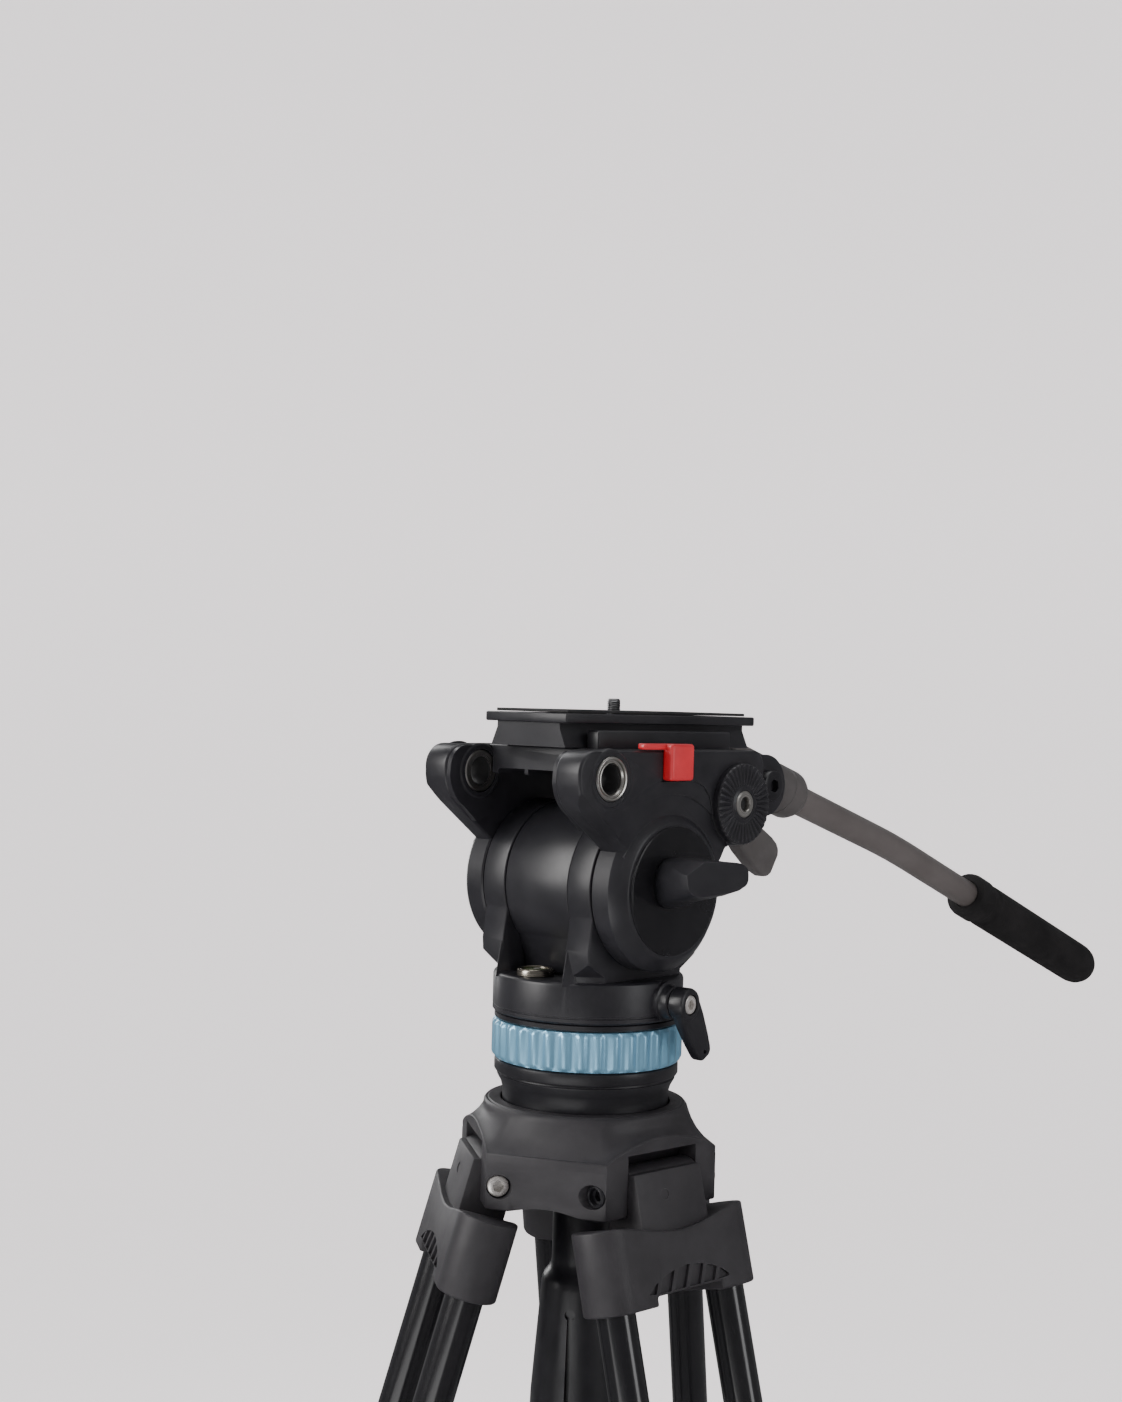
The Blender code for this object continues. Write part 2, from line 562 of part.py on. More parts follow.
def dish(radius, r0, r1, n):
    """(r, z) points on a sphere about the ball's centre, from radius r0 to r1 across its underside."""
    return [(r, ZC - math.sqrt(radius**2 - r**2)) for r in [r0 + (r1 - r0) * i / n for i in range(n + 1)]]


finish(cylinder("tie_rod", 5.0, ZC - 88.0, ZC - 20.0, 24), STEEL, (0, 0, ZC))
washer = turned("tie_washer", dish(42.0, 0, 21.3, 3) + dish(44.9, 21.5, 0, 3), 20)
slot = box("rod_slot", (-6.4, 6.4), (-5.6, 5.6), (ZC - 60, ZC - 20))
ends = [move(cylinder("slot_end", 5.6, ZC - 60, ZC - 20, 24), shift(side * 6.4)) for side in (-1, 1)]
boolean(slot, ends, "UNION")
boolean(washer, [slot])
finish(washer, STEEL, (0, 0, ZC))
handle = turned(
    "tie_handle",
    [(0, ZC - 88.4), (5.4, ZC - 88.4)] + dish(45.2, 5.4, 12.4, 2)
    + [(13.0, ZC - 44.0), (13.0, ZC - 75.0), (13.6, ZC - 77.0), (16.6, ZC - 81.0), (17.4, ZC - 86.0), (21.2, ZC - 134.0), (21.2, ZC - 141.0), (19.0, ZC - 145.0), (0, ZC - 147.0)],
    20,
)
finish(handle, BLACK, (0, 0, ZC))

# ---------------------------------------------------------------- crown
GAP_AZIMUTHS = [a + 60.0 for a in LEG_AZIMUTHS]
N = 24


def hexagon(r, i):
    """Point i of N on the crown's hexagon, whose corners lie between a leg face and a gap face."""
    t = math.tau * i / N
    corner = math.radians(60.0)
    local = (t + corner / 2) % corner - corner / 2
    radius = r * math.cos(math.radians(30.0)) / math.cos(local)
    turn = math.radians(LEG_AZIMUTHS[0]) + t
    return (radius * math.sin(turn), -radius * math.cos(turn))


def circle(r, i):
    turn = math.radians(LEG_AZIMUTHS[0]) + math.tau * i / N
    return (r * math.sin(turn), -r * math.cos(turn))


def blend(i, f, r_hex, r_round):
    a, b = hexagon(r_hex, i), circle(r_round, i)
    return (a[0] * (1 - f) + b[0] * f, a[1] * (1 - f) + b[1] * f)


levels = [(0, CROWN_R, 0, CROWN_BOTTOM), (0, CROWN_R, 0, CROWN_EDGE - 2.5), (0.02, CROWN_R - 1.2, 50, CROWN_EDGE), (0.35, CROWN_R - 3, 50, CROWN_EDGE + 5.4), (0.75, 54, 47.4, CROWN_EDGE + 10.6), (1, 0, 43.4, ZC - 1.2), (1, 0, 42.2, ZC - 0.4)]
bm = bmesh.new()
loops = []
for f, r_hex, r_round, z in levels:
    loops.append([bm.verts.new((*(Vector(blend(i, f, r_hex, r_round)) * MM), z * MM)) for i in range(N)])
for a, b in zip(loops, loops[1:]):
    for i in range(N):
        j = (i + 1) % N
        bm.faces.new((a[i], a[j], b[j], b[i]))
bm.faces.new(list(reversed(loops[0])))
bm.faces.new(loops[-1])
bmesh.ops.recalc_face_normals(bm, faces=bm.faces)
crown = from_bmesh("crown", bm)
bowl = turned("bowl", [(0, ZC + 10), (BOWL_R, ZC + 10)] + [(BOWL_R * math.cos(t), ZC - BOWL_R * math.sin(t)) for t in [math.radians(68.3) * i / 7 for i in range(8)]] + [(14.0, ZC - 60), (0, ZC - 60)], 28)
pocket = turned("pocket", dish(41.3, 0, 29.5, 4) + [(29.5, ZC - 70), (0, ZC - 70)], 24)
boolean(crown, [bowl, pocket])
slot_outline = [(70, ZH - 30), (70, ZH + 15.5), (44.5, ZH + 15.5), (40.5, ZH + 12), (33.4, ZH + 4), (32.4, ZH), (32.4, ZH - 30)]
for azimuth in LEG_AZIMUTHS:
    turn = Matrix.Rotation(math.radians(azimuth), 4, "Z")
    cutter = move(outline_solid("leg_slot", [(-r, z) for r, z in slot_outline], -20.6, 20.6), turn)
    hinge = turn @ shift(0, -HINGE_R, ZH) @ TO_X
    bore = move(turned("pin_bore", [(0, 50), (5.2, 50), (5.2, 28.4), (4.3, 28.4), (4.3, -28.4), (5.2, -28.4), (5.2, -50), (0, -50)], 12), hinge)
    boolean(crown, [cutter, bore])
finish(crown, GREY)

# ---------------------------------------------------------------- legs
# Leg axes: x is tangential (the hinge axis), -y points outward, z runs up the leg.
def leg_shoulder():
    body = prism("shoulder", round_ends(TUBE_X, 13.5), -48.0, -13.5)
    top = outline_solid("top", [(-40, -13.0), (-20, -15.5), (0, -19.5), (20, -17.5), (40, -13.0), (40, -5.0), (-40, -5.0)], -20, 20)
    move(top, Matrix.Rotation(math.radians(-90.0), 4, "Z"))
    under = box("under", (-20.5, 20.5), (-20, 20), (-60, -44.0))
    boolean(body, [top, under])
    knuckle = outline_solid("knuckle", [(10.3 * math.cos(math.radians(a)), 10.3 * math.sin(math.radians(a))) for a in range(0, 136, 15)] + [(-10.6, 7.0), (-10.6, -24.0), (10.3, -24.0)], -20.0, 20.0)
    boolean(body, [knuckle], "UNION")
    bores = [move(cylinder("socket", TUBE_R + 0.3, -60.0, -20.0, 12), shift(side * TUBE_X)) for side in (-1, 1)]
    bores.append(move(cylinder("pin_bore", 4.3, -30, 30, 12), TO_X))
    return boolean(body, bores)


def leg_collar():
    body = prism("collar", round_ends(TUBE_X, 14.0, 18.5), COLLAR_BOTTOM, COLLAR_TOP)
    lugs = [box("lug", (s * 14.6 - 2.2, s * 14.6 + 2.2), (-26.0, -8.0), (COLLAR_TOP - 16, COLLAR_TOP - 3)) for s in (-1, 1)]
    boolean(body, lugs, "UNION")
    cuts = [move(cylinder("socket", TUBE_R + 0.3, TUBE_END - 0.3, 0, 12), shift(side * TUBE_X)) for side in (-1, 1)]
    cuts.append(cylinder("guide", LOWER_R + 0.3, COLLAR_BOTTOM - 5, COLLAR_TOP + 5, 16))
    cuts.append(move(cylinder("lever_bore", 2.0, -20, 20, 12), shift(0, -21.5, COLLAR_TOP - 9.5) @ TO_X))
    cuts.append(box("slit", (-1.2, 1.2), (-25, -5), (COLLAR_BOTTOM - 5, COLLAR_TOP + 5)))
    return boolean(body, cuts)


LEVER_Y, LEVER_Z = -21.5, COLLAR_TOP - 9.5


def leg_lever():
    outline = [(-4.2, 0), (-3.6, 2.4), (0, 3.6), (2.2, 1.6), (2.4, -6), (1.6, -46.0), (-1.0, -48.5), (-3.4, -46.5), (-4.4, -30)]
    body = outline_solid("lever", [(LEVER_Y + y, LEVER_Z + z) for y, z in outline], -12.0, 12.0)
    bevelled(body, 0.6, 1)
    pin = move(cylinder("pin", 1.7, -16.4, 16.4, 12), shift(0, LEVER_Y, LEVER_Z) @ TO_X)
    return boolean(body, [pin], "UNION")


def leg_tube(x):
    return move(ring("tube", TUBE_R, 7.1, TUBE_END, TUBE_TOP, 12), shift(x))


def leg_lower():
    body = ring("lower", LOWER_R, 11.4, -(FOOT_T - 22.0), LOWER_TOP, 16)
    slider = box("slider", (-TUBE_X, TUBE_X), (-9.0, 9.0), (LOWER_TOP - 30, LOWER_TOP - 2))
    boolean(slider, [move(cylinder("groove", TUBE_R + 0.3, -400, -200, 12), shift(side * TUBE_X)) for side in (-1, 1)])
    boolean(slider, [cylinder("core", 12.2, -400, -200, 16)])
    return boolean(body, [slider], "UNION")


def leg_foot():
    t = FOOT_T
    body = turned("foot", [(0, -t + 21.7), (13.3, -t + 21.7), (13.3, -t + 46), (16.6, -t + 46), (17.6, -t + 44), (17.6, -t + 24), (19.0, -t + 14), (19.0, -t - 8), (0, -t - 8)], 16)
    floor = box("floor", (-60, 60), (-60, 60), (-40, 0))
    move(floor, Matrix.Rotation(LEAN, 4, "X"))
    move(floor, shift(0, 0, -t))
    return boolean(body, [floor])


def leg_pin():
    return move(turned("pin", [(0, 33.2), (3.6, 33.2), (4.7, 32.4), (4.7, 28.7), (4.0, 28.7), (4.0, -28.7), (4.7, -28.7), (4.7, -32.4), (3.6, -33.2), (0, -33.2)], 12), TO_X)


shapes = {
    "shoulder": (leg_shoulder(), GREY),
    "collar": (leg_collar(), GREY),
    "lock_lever": (leg_lever(), BLACK),
    "tube_a": (leg_tube(-TUBE_X), GLOSS),
    "tube_b": (leg_tube(TUBE_X), GLOSS),
    "lower_tube": (leg_lower(), GLOSS),
    "foot": (leg_foot(), RUBBER),
    "hinge_pin": (leg_pin(), CHROME),
}
pivots = {"lock_lever": (0, LEVER_Y, LEVER_Z), "lower_tube": (0, 0, LOWER_TOP), "foot": (0, 0, LOWER_TOP)}
for number, azimuth in enumerate(LEG_AZIMUTHS, 1):
    a = math.radians(azimuth)
    hinge = empty(f"leg_{number}_hinge", (HINGE_R * math.sin(a), -HINGE_R * math.cos(a), ZH), ROOT, (-LEAN, 0, a))
    for kind, (shape, mat) in shapes.items():
        copy = new_object(f"leg_{number}_{kind}", shape.data.copy())
        finish(copy, mat, pivots.get(kind, (0, 0, 0)), hinge)
for shape, _ in shapes.values():
    bpy.data.objects.remove(shape, do_unlink=True)
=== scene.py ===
import json
import math

import bmesh
import bpy
from mathutils import Matrix, Vector


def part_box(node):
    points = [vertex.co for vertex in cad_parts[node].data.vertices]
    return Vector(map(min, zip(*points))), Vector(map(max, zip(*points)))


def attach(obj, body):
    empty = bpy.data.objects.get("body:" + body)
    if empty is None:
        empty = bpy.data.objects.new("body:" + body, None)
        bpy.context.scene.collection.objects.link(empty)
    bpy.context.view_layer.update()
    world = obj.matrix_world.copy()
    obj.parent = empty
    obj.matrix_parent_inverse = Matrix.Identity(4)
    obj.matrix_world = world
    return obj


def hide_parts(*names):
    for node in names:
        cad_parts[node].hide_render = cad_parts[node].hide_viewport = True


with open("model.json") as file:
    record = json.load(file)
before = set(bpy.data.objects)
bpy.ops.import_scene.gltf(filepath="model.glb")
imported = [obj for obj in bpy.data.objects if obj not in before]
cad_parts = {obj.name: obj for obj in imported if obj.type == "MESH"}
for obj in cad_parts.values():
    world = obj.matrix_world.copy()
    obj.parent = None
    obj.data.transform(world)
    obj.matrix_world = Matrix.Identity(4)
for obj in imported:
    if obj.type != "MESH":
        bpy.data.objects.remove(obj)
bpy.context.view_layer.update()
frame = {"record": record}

BEHAVIOUR = frame["record"]["behaviour"]
BODY_OF = {node: body for body, nodes in BEHAVIOUR["bodies"].items() for node in nodes}

MM = 0.001
low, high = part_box("clamp_ring")
AXIS = Vector(((low[0] + high[0]) / 2, (low[1] + high[1]) / 2, 0.0))

# driving dimensions, as in the CAD model (mm). h is a depth below the platform top, p is forward of the tilt axis
Z_TOP = 1034.0
TILT_H = 61.0
BASE_TOP_H, BASE_BOTTOM_H = 101.0, 119.0
RING_TOP_H, RING_BOTTOM_H = 122.5, 140.0
BOWL_H = 158.0
HINGE_H = 189.0
BASE_R, DRUM_R, CHEEK_R = 43.0, 35.4, 36.0
CHEEK_IN, CHEEK_OUT, EAR_IN = 33.6, 48.0, 31.5
EAR_P, EAR_H, EAR_R = 41.0, 12.0, 19.0
ROSETTE_P, ROSETTE_H, ROSETTE_R = -45.0, 24.0, 18.3
COVER_R = 28.3
ARM_P, ARM_H, ARM_R = -104.0, 18.0, 15.0
BAR_SLOPE = math.radians(17.6)
BAR_X = -6.0
BALL_R, BOWL_R = 37.5, 38.2
CROWN_R = 60.3
CROWN_BOTTOM, CROWN_EDGE = Z_TOP - 199.0, Z_TOP - 172.0
HINGE_R = 45.0
LEG_AZIMUTHS = (-34.0, 86.0, 206.0)
TUBE_R, TUBE_X = 8.5, 33.0
TUBE_TOP, TUBE_END = -20.3, -570.0
COLLAR_TOP, COLLAR_BOTTOM = -530.0, -592.0
LOWER_R, LOWER_TOP = 13.0, -300.0
ZT, ZC, ZH = Z_TOP - TILT_H, Z_TOP - BOWL_H, Z_TOP - HINGE_H
LEAN = math.radians(15.5)
FOOT_T = ZH / math.cos(LEAN)
base_z0, base_z1 = Z_TOP - BASE_BOTTOM_H, Z_TOP - BASE_TOP_H
ring_z0, ring_z1 = Z_TOP - RING_BOTTOM_H, Z_TOP - RING_TOP_H


# ---------------------------------------------------------------- materials
def nodes_of(name):
    made = bpy.data.materials.new(name)
    made.use_nodes = True
    tree = made.node_tree
    return made, tree, tree.nodes["Principled BSDF"]


def add(tree, kind, **values):
    node = tree.nodes.new(kind)
    for key, value in values.items():
        if key in node.inputs.keys():
            node.inputs[key].default_value = value
        else:
            setattr(node, key, value)
    return node


def noise(tree, scale, detail=4.0, rough=0.55, stretch=None):
    """Noise in object coordinates, in lumps of about 1 / scale metres; stretch scales each axis."""
    coords = add(tree, "ShaderNodeTexCoord")
    mapping = add(tree, "ShaderNodeMapping")
    if stretch:
        mapping.inputs["Scale"].default_value = stretch
    tree.links.new(coords.outputs["Object"], mapping.inputs["Vector"])
    node = add(tree, "ShaderNodeTexNoise", Scale=scale, Detail=detail, Roughness=rough)
    tree.links.new(mapping.outputs["Vector"], node.inputs["Vector"])
    return node, mapping


def ramp(tree, source, low, high, a=0.0, b=1.0):
    """Maps a 0-1 value between a and b to low..high."""
    node = add(tree, "ShaderNodeMapRange")
    node.inputs["From Min"].default_value = a
    node.inputs["From Max"].default_value = b
    node.inputs["To Min"].default_value = low
    node.inputs["To Max"].default_value = high
    tree.links.new(source, node.inputs["Value"])
    return node.outputs["Result"]


def mixed(tree, factor, a, b):
    node = add(tree, "ShaderNodeMix", data_type="RGBA")
    node.inputs[7].default_value = (*b, 1)
    node.inputs[6].default_value = (*a, 1)
    tree.links.new(factor, node.inputs[0])
    return node.outputs[2]


def edges(tree, radius, strength):
    """A mask that is 1 on outer edges, for wear and a painted edge highlight: where a rounded normal leaves the true
    one.
    """
    bevel = add(tree, "ShaderNodeBevel", samples=4)
    bevel.inputs["Radius"].default_value = radius
    geometry = add(tree, "ShaderNodeNewGeometry")
    dot = add(tree, "ShaderNodeVectorMath", operation="DOT_PRODUCT")
    tree.links.new(bevel.outputs["Normal"], dot.inputs[0])
    tree.links.new(geometry.outputs["Normal"], dot.inputs[1])
    return ramp(tree, dot.outputs["Value"], strength, 0.0, 0.80, 0.985)


def surface(name, base, lighter, roughness, metallic=0.0, grain=2500.0, bump=0.12, depth=0.0001, spread=0.06,
            coat=0.0, edge_wear_and_highlight=0.0, worn_and_highlit_colour=(0.2, 0.2, 0.21), stretch=None, mottle=60.0, cells=False, sheen=0.0, specular=0.5, coat_rough=0.1):
    """A painted, moulded or plated surface: slow colour drift, fine grain, smudged gloss, and outer edges made lighter
    for wear and a painted edge highlight.
    """
    made, tree, shader = nodes_of(name)
    drift, _ = noise(tree, mottle, 5.0, 0.6)
    colour = mixed(tree, ramp(tree, drift.outputs["Fac"], 0, 1, 0.35, 0.68), base, lighter)
    # outer edges lighter in colour: partly wear, partly a painted edge highlight
    if edge_wear_and_highlight:
        wear_and_highlight_mask = edges(tree, 0.0007, edge_wear_and_highlight)
        breaks, _ = noise(tree, 900.0, 3.0, 0.6)
        times = add(tree, "ShaderNodeMath", operation="MULTIPLY")
        tree.links.new(wear_and_highlight_mask, times.inputs[0])
        tree.links.new(ramp(tree, breaks.outputs["Fac"], 0.35, 1.0, 0.4, 0.6), times.inputs[1])
        mix = add(tree, "ShaderNodeMix", data_type="RGBA")
        mix.inputs[7].default_value = (*worn_and_highlit_colour, 1)
        tree.links.new(times.outputs["Value"], mix.inputs[0])
        tree.links.new(colour, mix.inputs[6])
        colour = mix.outputs[2]
    tree.links.new(colour, shader.inputs["Base Color"])
    smudge, _ = noise(tree, 35.0, 6.0, 0.65)
    tree.links.new(ramp(tree, smudge.outputs["Fac"], roughness - spread, roughness + spread, 0.35, 0.65), shader.inputs["Roughness"])
    shader.inputs["Metallic"].default_value = metallic
    shader.inputs["Specular IOR Level"].default_value = specular
    shader.inputs["Coat Weight"].default_value = coat
    shader.inputs["Coat Roughness"].default_value = coat_rough
    shader.inputs["Sheen Weight"].default_value = sheen
    if cells:
        fine = add(tree, "ShaderNodeTexVoronoi", Scale=grain)
        coords = add(tree, "ShaderNodeTexCoord")
        tree.links.new(coords.outputs["Object"], fine.inputs["Vector"])
        height = fine.outputs["Distance"]
    else:
        fine, _ = noise(tree, grain, 3.0, 0.6, stretch)
        height = fine.outputs["Fac"]
    bumps = add(tree, "ShaderNodeBump", Strength=bump, Distance=depth)
    tree.links.new(height, bumps.inputs["Height"])
    tree.links.new(bumps.outputs["Normal"], shader.inputs["Normal"])
    return made


def turned_metal(name, base, lighter, roughness, metallic=1.0, bump=0.15, rings=2200.0):
    """Machined metal whose tool marks run round the object's own Z axis."""
    made, tree, shader = nodes_of(name)
    coords = add(tree, "ShaderNodeTexCoord")
    split = add(tree, "ShaderNodeSeparateXYZ")
    tree.links.new(coords.outputs["Object"], split.inputs["Vector"])
    flat = add(tree, "ShaderNodeVectorMath", operation="LENGTH")
    merged = add(tree, "ShaderNodeCombineXYZ")
    tree.links.new(split.outputs["X"], merged.inputs["X"])
    tree.links.new(split.outputs["Y"], merged.inputs["Y"])
    tree.links.new(merged.outputs["Vector"], flat.inputs[0])
    total = add(tree, "ShaderNodeMath", operation="ADD")
    tree.links.new(flat.outputs["Value"], total.inputs[0])
    tree.links.new(split.outputs["Z"], total.inputs[1])
    marks = add(tree, "ShaderNodeTexNoise", Scale=rings, Detail=2.0, noise_dimensions="1D")
    tree.links.new(total.outputs["Value"], marks.inputs["W"])
    drift, _ = noise(tree, 120.0, 4.0)
    tree.links.new(mixed(tree, ramp(tree, drift.outputs["Fac"], 0, 1, 0.35, 0.65), base, lighter), shader.inputs["Base Color"])
    tree.links.new(ramp(tree, marks.outputs["Fac"], roughness - 0.08, roughness + 0.1, 0.3, 0.7), shader.inputs["Roughness"])
    shader.inputs["Metallic"].default_value = metallic
    bumps = add(tree, "ShaderNodeBump", Strength=bump, Distance=0.0001)
    tree.links.new(marks.outputs["Fac"], bumps.inputs["Height"])
    tree.links.new(bumps.outputs["Normal"], shader.inputs["Normal"])
    return made


def brushed(name, base, lighter, roughness, metallic, stretch, coat=0.0, bump=0.1, coat_rough=0.1):
    """Drawn or anodised metal with fine marks along one of the object's own axes."""
    made, tree, shader = nodes_of(name)
    marks, _ = noise(tree, 900.0, 3.0, 0.6, stretch)
    drift, _ = noise(tree, 25.0, 5.0, 0.6)
    tree.links.new(mixed(tree, ramp(tree, drift.outputs["Fac"], 0, 1, 0.35, 0.65), base, lighter), shader.inputs["Base Color"])
    tree.links.new(ramp(tree, marks.outputs["Fac"], roughness - 0.06, roughness + 0.08, 0.3, 0.7), shader.inputs["Roughness"])
    shader.inputs["Metallic"].default_value = metallic
    shader.inputs["Coat Weight"].default_value = coat
    shader.inputs["Coat Roughness"].default_value = coat_rough
    bumps = add(tree, "ShaderNodeBump", Strength=bump, Distance=0.00008)
    tree.links.new(marks.outputs["Fac"], bumps.inputs["Height"])
    tree.links.new(bumps.outputs["Normal"], shader.inputs["Normal"])
    return made


# the edge wear amounts and colours below also paint a highlight along the outer edges
BLACK = surface("satin_black_paint_look", (0.0085, 0.0085, 0.0105), (0.0135, 0.0135, 0.016), 0.36, grain=3200.0, bump=0.16, edge_wear_and_highlight=0.30, worn_and_highlit_colour=(0.055, 0.055, 0.06), specular=0.42)
DRUM = surface("satin_black_drum_look", (0.0095, 0.0095, 0.0115), (0.014, 0.014, 0.0165), 0.34, grain=3600.0, bump=0.13, specular=0.45)
GLOSS = surface("gloss_black_cover_look", (0.0045, 0.0045, 0.0055), (0.007, 0.007, 0.008), 0.24, grain=3600.0, bump=0.06, edge_wear_and_highlight=0.5, worn_and_highlit_colour=(0.09, 0.09, 0.10), specular=0.35)
DARK = surface("black_fittings_look", (0.006, 0.006, 0.0075), (0.010, 0.010, 0.012), 0.34, grain=3000.0, bump=0.14, edge_wear_and_highlight=0.3, worn_and_highlit_colour=(0.05, 0.05, 0.055), specular=0.42)
GREY = surface("grey_moulded_look", (0.0150, 0.0143, 0.0165), (0.0215, 0.0205, 0.0232), 0.52, grain=1900.0, bump=0.42, depth=0.00012, edge_wear_and_highlight=0.26, worn_and_highlit_colour=(0.10, 0.10, 0.105), specular=0.38)
RED = surface("red_plastic_look", (0.33, 0.006, 0.011), (0.42, 0.012, 0.018), 0.38, grain=2400.0, bump=0.14, coat=0.15)
FOAM = surface("black_foam_look", (0.0050, 0.0048, 0.0052), (0.010, 0.0095, 0.010), 0.86, grain=1500.0, bump=0.7, depth=0.00035, spread=0.04, cells=True, sheen=0.0, specular=0.2)
RUBBER = surface("black_rubber_look", (0.008, 0.008, 0.009), (0.014, 0.014, 0.015), 0.72, grain=1400.0, bump=0.45, depth=0.0002)
BLUE = brushed("blue_anodised_look", (0.165, 0.365, 0.51), (0.205, 0.425, 0.59), 0.34, 0.72, (1, 1, 9), coat=0.25, bump=0.08)
TUBE = surface("black_anodised_tube_look", (0.004, 0.004, 0.005), (0.0065, 0.0065, 0.0075), 0.20, grain=3000.0, bump=0.035, spread=0.025, coat=0.35, coat_rough=0.10, mottle=30.0)
LOWER = brushed("lower_tube_look", (0.009, 0.009, 0.010), (0.014, 0.014, 0.015), 0.32, 0.3, (14, 14, 0.5), coat=0.2, bump=0.12, coat_rough=0.2)
SATIN = brushed("satin_grey_bar_look", (0.085, 0.077, 0.074), (0.11, 0.10, 0.097), 0.36, 0.40, (10, 0.6, 10), coat=0.15, bump=0.08, coat_rough=0.2)
SATIN_CAST = surface("satin_grey_cast_look", (0.050, 0.047, 0.046), (0.068, 0.064, 0.063), 0.40, metallic=0.2, grain=2600.0, bump=0.16, edge_wear_and_highlight=0.3, worn_and_highlit_colour=(0.14, 0.135, 0.13))
CHROME = turned_metal("bright_steel_look", (0.66, 0.64, 0.61), (0.78, 0.76, 0.73), 0.30, metallic=0.85)
STEEL = turned_metal("turned_steel_look", (0.15, 0.15, 0.155), (0.23, 0.23, 0.235), 0.32)
STEEL_BRIGHT = turned_metal("bushing_steel_look", (0.52, 0.50, 0.47), (0.64, 0.62, 0.59), 0.30)
BRASS = turned_metal("plated_rim_look", (0.26, 0.235, 0.20), (0.36, 0.33, 0.28), 0.26)
# near-black colour for the insides of bores and threaded holes: painted shade
BORE_SHADE = surface("painted_bore_shade_look", (0.006, 0.006, 0.007), (0.012, 0.012, 0.012), 0.6, bump=0.2)


def fluid():
    made, tree, shader = nodes_of("level_fluid_look")
    drift, _ = noise(tree, 300.0, 3.0)
    tree.links.new(mixed(tree, drift.outputs["Fac"], (0.10, 0.13, 0.06), (0.15, 0.18, 0.09)), shader.inputs["Base Color"])
    shader.inputs["Roughness"].default_value = 0.08
    shader.inputs["Coat Weight"].default_value = 0.8
    return made


FLUID = fluid()


# ---------------------------------------------------------------- geometry helpers
def new_object(name, mesh):
    made = bpy.data.objects.new(name, mesh)
    bpy.context.scene.collection.objects.link(made)
    return made


def from_bmesh(name, bm):
    mesh = bpy.data.meshes.new(name)
    bm.to_mesh(mesh)
    bm.free()
    return new_object(name, mesh)


def bake(obj):
    bpy.context.view_layer.update()
    graph = bpy.context.evaluated_depsgraph_get()
    mesh = bpy.data.meshes.new_from_object(obj.evaluated_get(graph))
    bm = bmesh.new()
    bm.from_mesh(mesh)
    bmesh.ops.remove_doubles(bm, verts=bm.verts, dist=2e-6)
    bm.to_mesh(mesh)
    bm.free()
    if obj.type == "CURVE":
        made = new_object(obj.name + "_mesh", mesh)
        made.matrix_world = obj.matrix_world
        name = obj.name
        bpy.data.objects.remove(obj, do_unlink=True)
        made.name = name
        return made
    obj.modifiers.clear()
    obj.data = mesh
    return obj


def move(obj, matrix):
    obj.data.transform(matrix)
    if matrix.determinant() < 0:
        obj.data.flip_normals()
    return obj


def shift(x=0.0, y=0.0, z=0.0):
    return Matrix.Translation((x * MM, y * MM, z * MM))


def box(name, x, y, z):
    bm = bmesh.new()
    bmesh.ops.create_cube(bm, size=1.0)
    bmesh.ops.scale(bm, vec=Vector((x[1] - x[0], y[1] - y[0], z[1] - z[0])) * MM, verts=bm.verts)
    bmesh.ops.translate(bm, vec=Vector((x[1] + x[0], y[1] + y[0], z[1] + z[0])) * (MM / 2), verts=bm.verts)
    return from_bmesh(name, bm)


TO_X = Matrix(((0, 0, 1, 0), (1, 0, 0, 0), (0, 1, 0, 0), (0, 0, 0, 1)))


def turned(name, profile, steps=96, closed=False):
    bm = bmesh.new()
    points = [bm.verts.new((r * MM, 0, z * MM)) for r, z in profile]
    pairs = list(zip(points, points[1:]))
    if closed:
        pairs.append((points[-1], points[0]))
    for a, b in pairs:
        bm.edges.new((a, b))
    obj = from_bmesh(name, bm)
    screw = obj.modifiers.new("Screw", "SCREW")
    screw.steps = screw.render_steps = steps
    screw.use_merge_vertices = True
    screw.merge_threshold = 1e-5
    screw.use_smooth_shade = True
    return bake(obj)


def cylinder(name, radius, z0, z1, steps=48):
    return turned(name, [(0, z1), (radius, z1), (radius, z0), (0, z0)], steps)


def ring(name, outer, inner, z0, z1, steps=96, edge=0.0):
    e = edge
    profile = [(inner, z1), (outer - e, z1), (outer, z1 - e), (outer, z0 + e), (outer - e, z0), (inner, z0)]
    if not e:
        profile = [(inner, z1), (outer, z1), (outer, z0), (inner, z0)]
    return turned(name, profile, steps, closed=True)


def outline_solid(name, points, x0, x1):
    curve = bpy.data.curves.new(name, "CURVE")
    curve.dimensions = "2D"
    curve.fill_mode = "BOTH"
    curve.extrude = (x1 - x0) / 2 * MM
    spline = curve.splines.new("POLY")
    spline.points.add(len(points) - 1)
    for point, (u, v) in zip(spline.points, points):
        point.co = (u * MM, v * MM, 0, 1)
    spline.use_cyclic_u = True
    obj = bake(new_object(name, curve))
    bm = bmesh.new()
    bm.from_mesh(obj.data)
    bmesh.ops.dissolve_limit(bm, angle_limit=0.0005, verts=bm.verts, edges=bm.edges)
    bmesh.ops.recalc_face_normals(bm, faces=bm.faces)
    bm.to_mesh(obj.data)
    bm.free()
    return move(obj, Matrix.Translation(((x0 + x1) / 2 * MM, 0, 0)) @ TO_X)


def plate(name, outline, x0, x1):
    return outline_solid(name, [(-p, Z_TOP - h) for p, h in outline], x0, x1)


def prism(name, points, z0, z1):
    return move(outline_solid(name, points, z0, z1), TO_X.inverted())


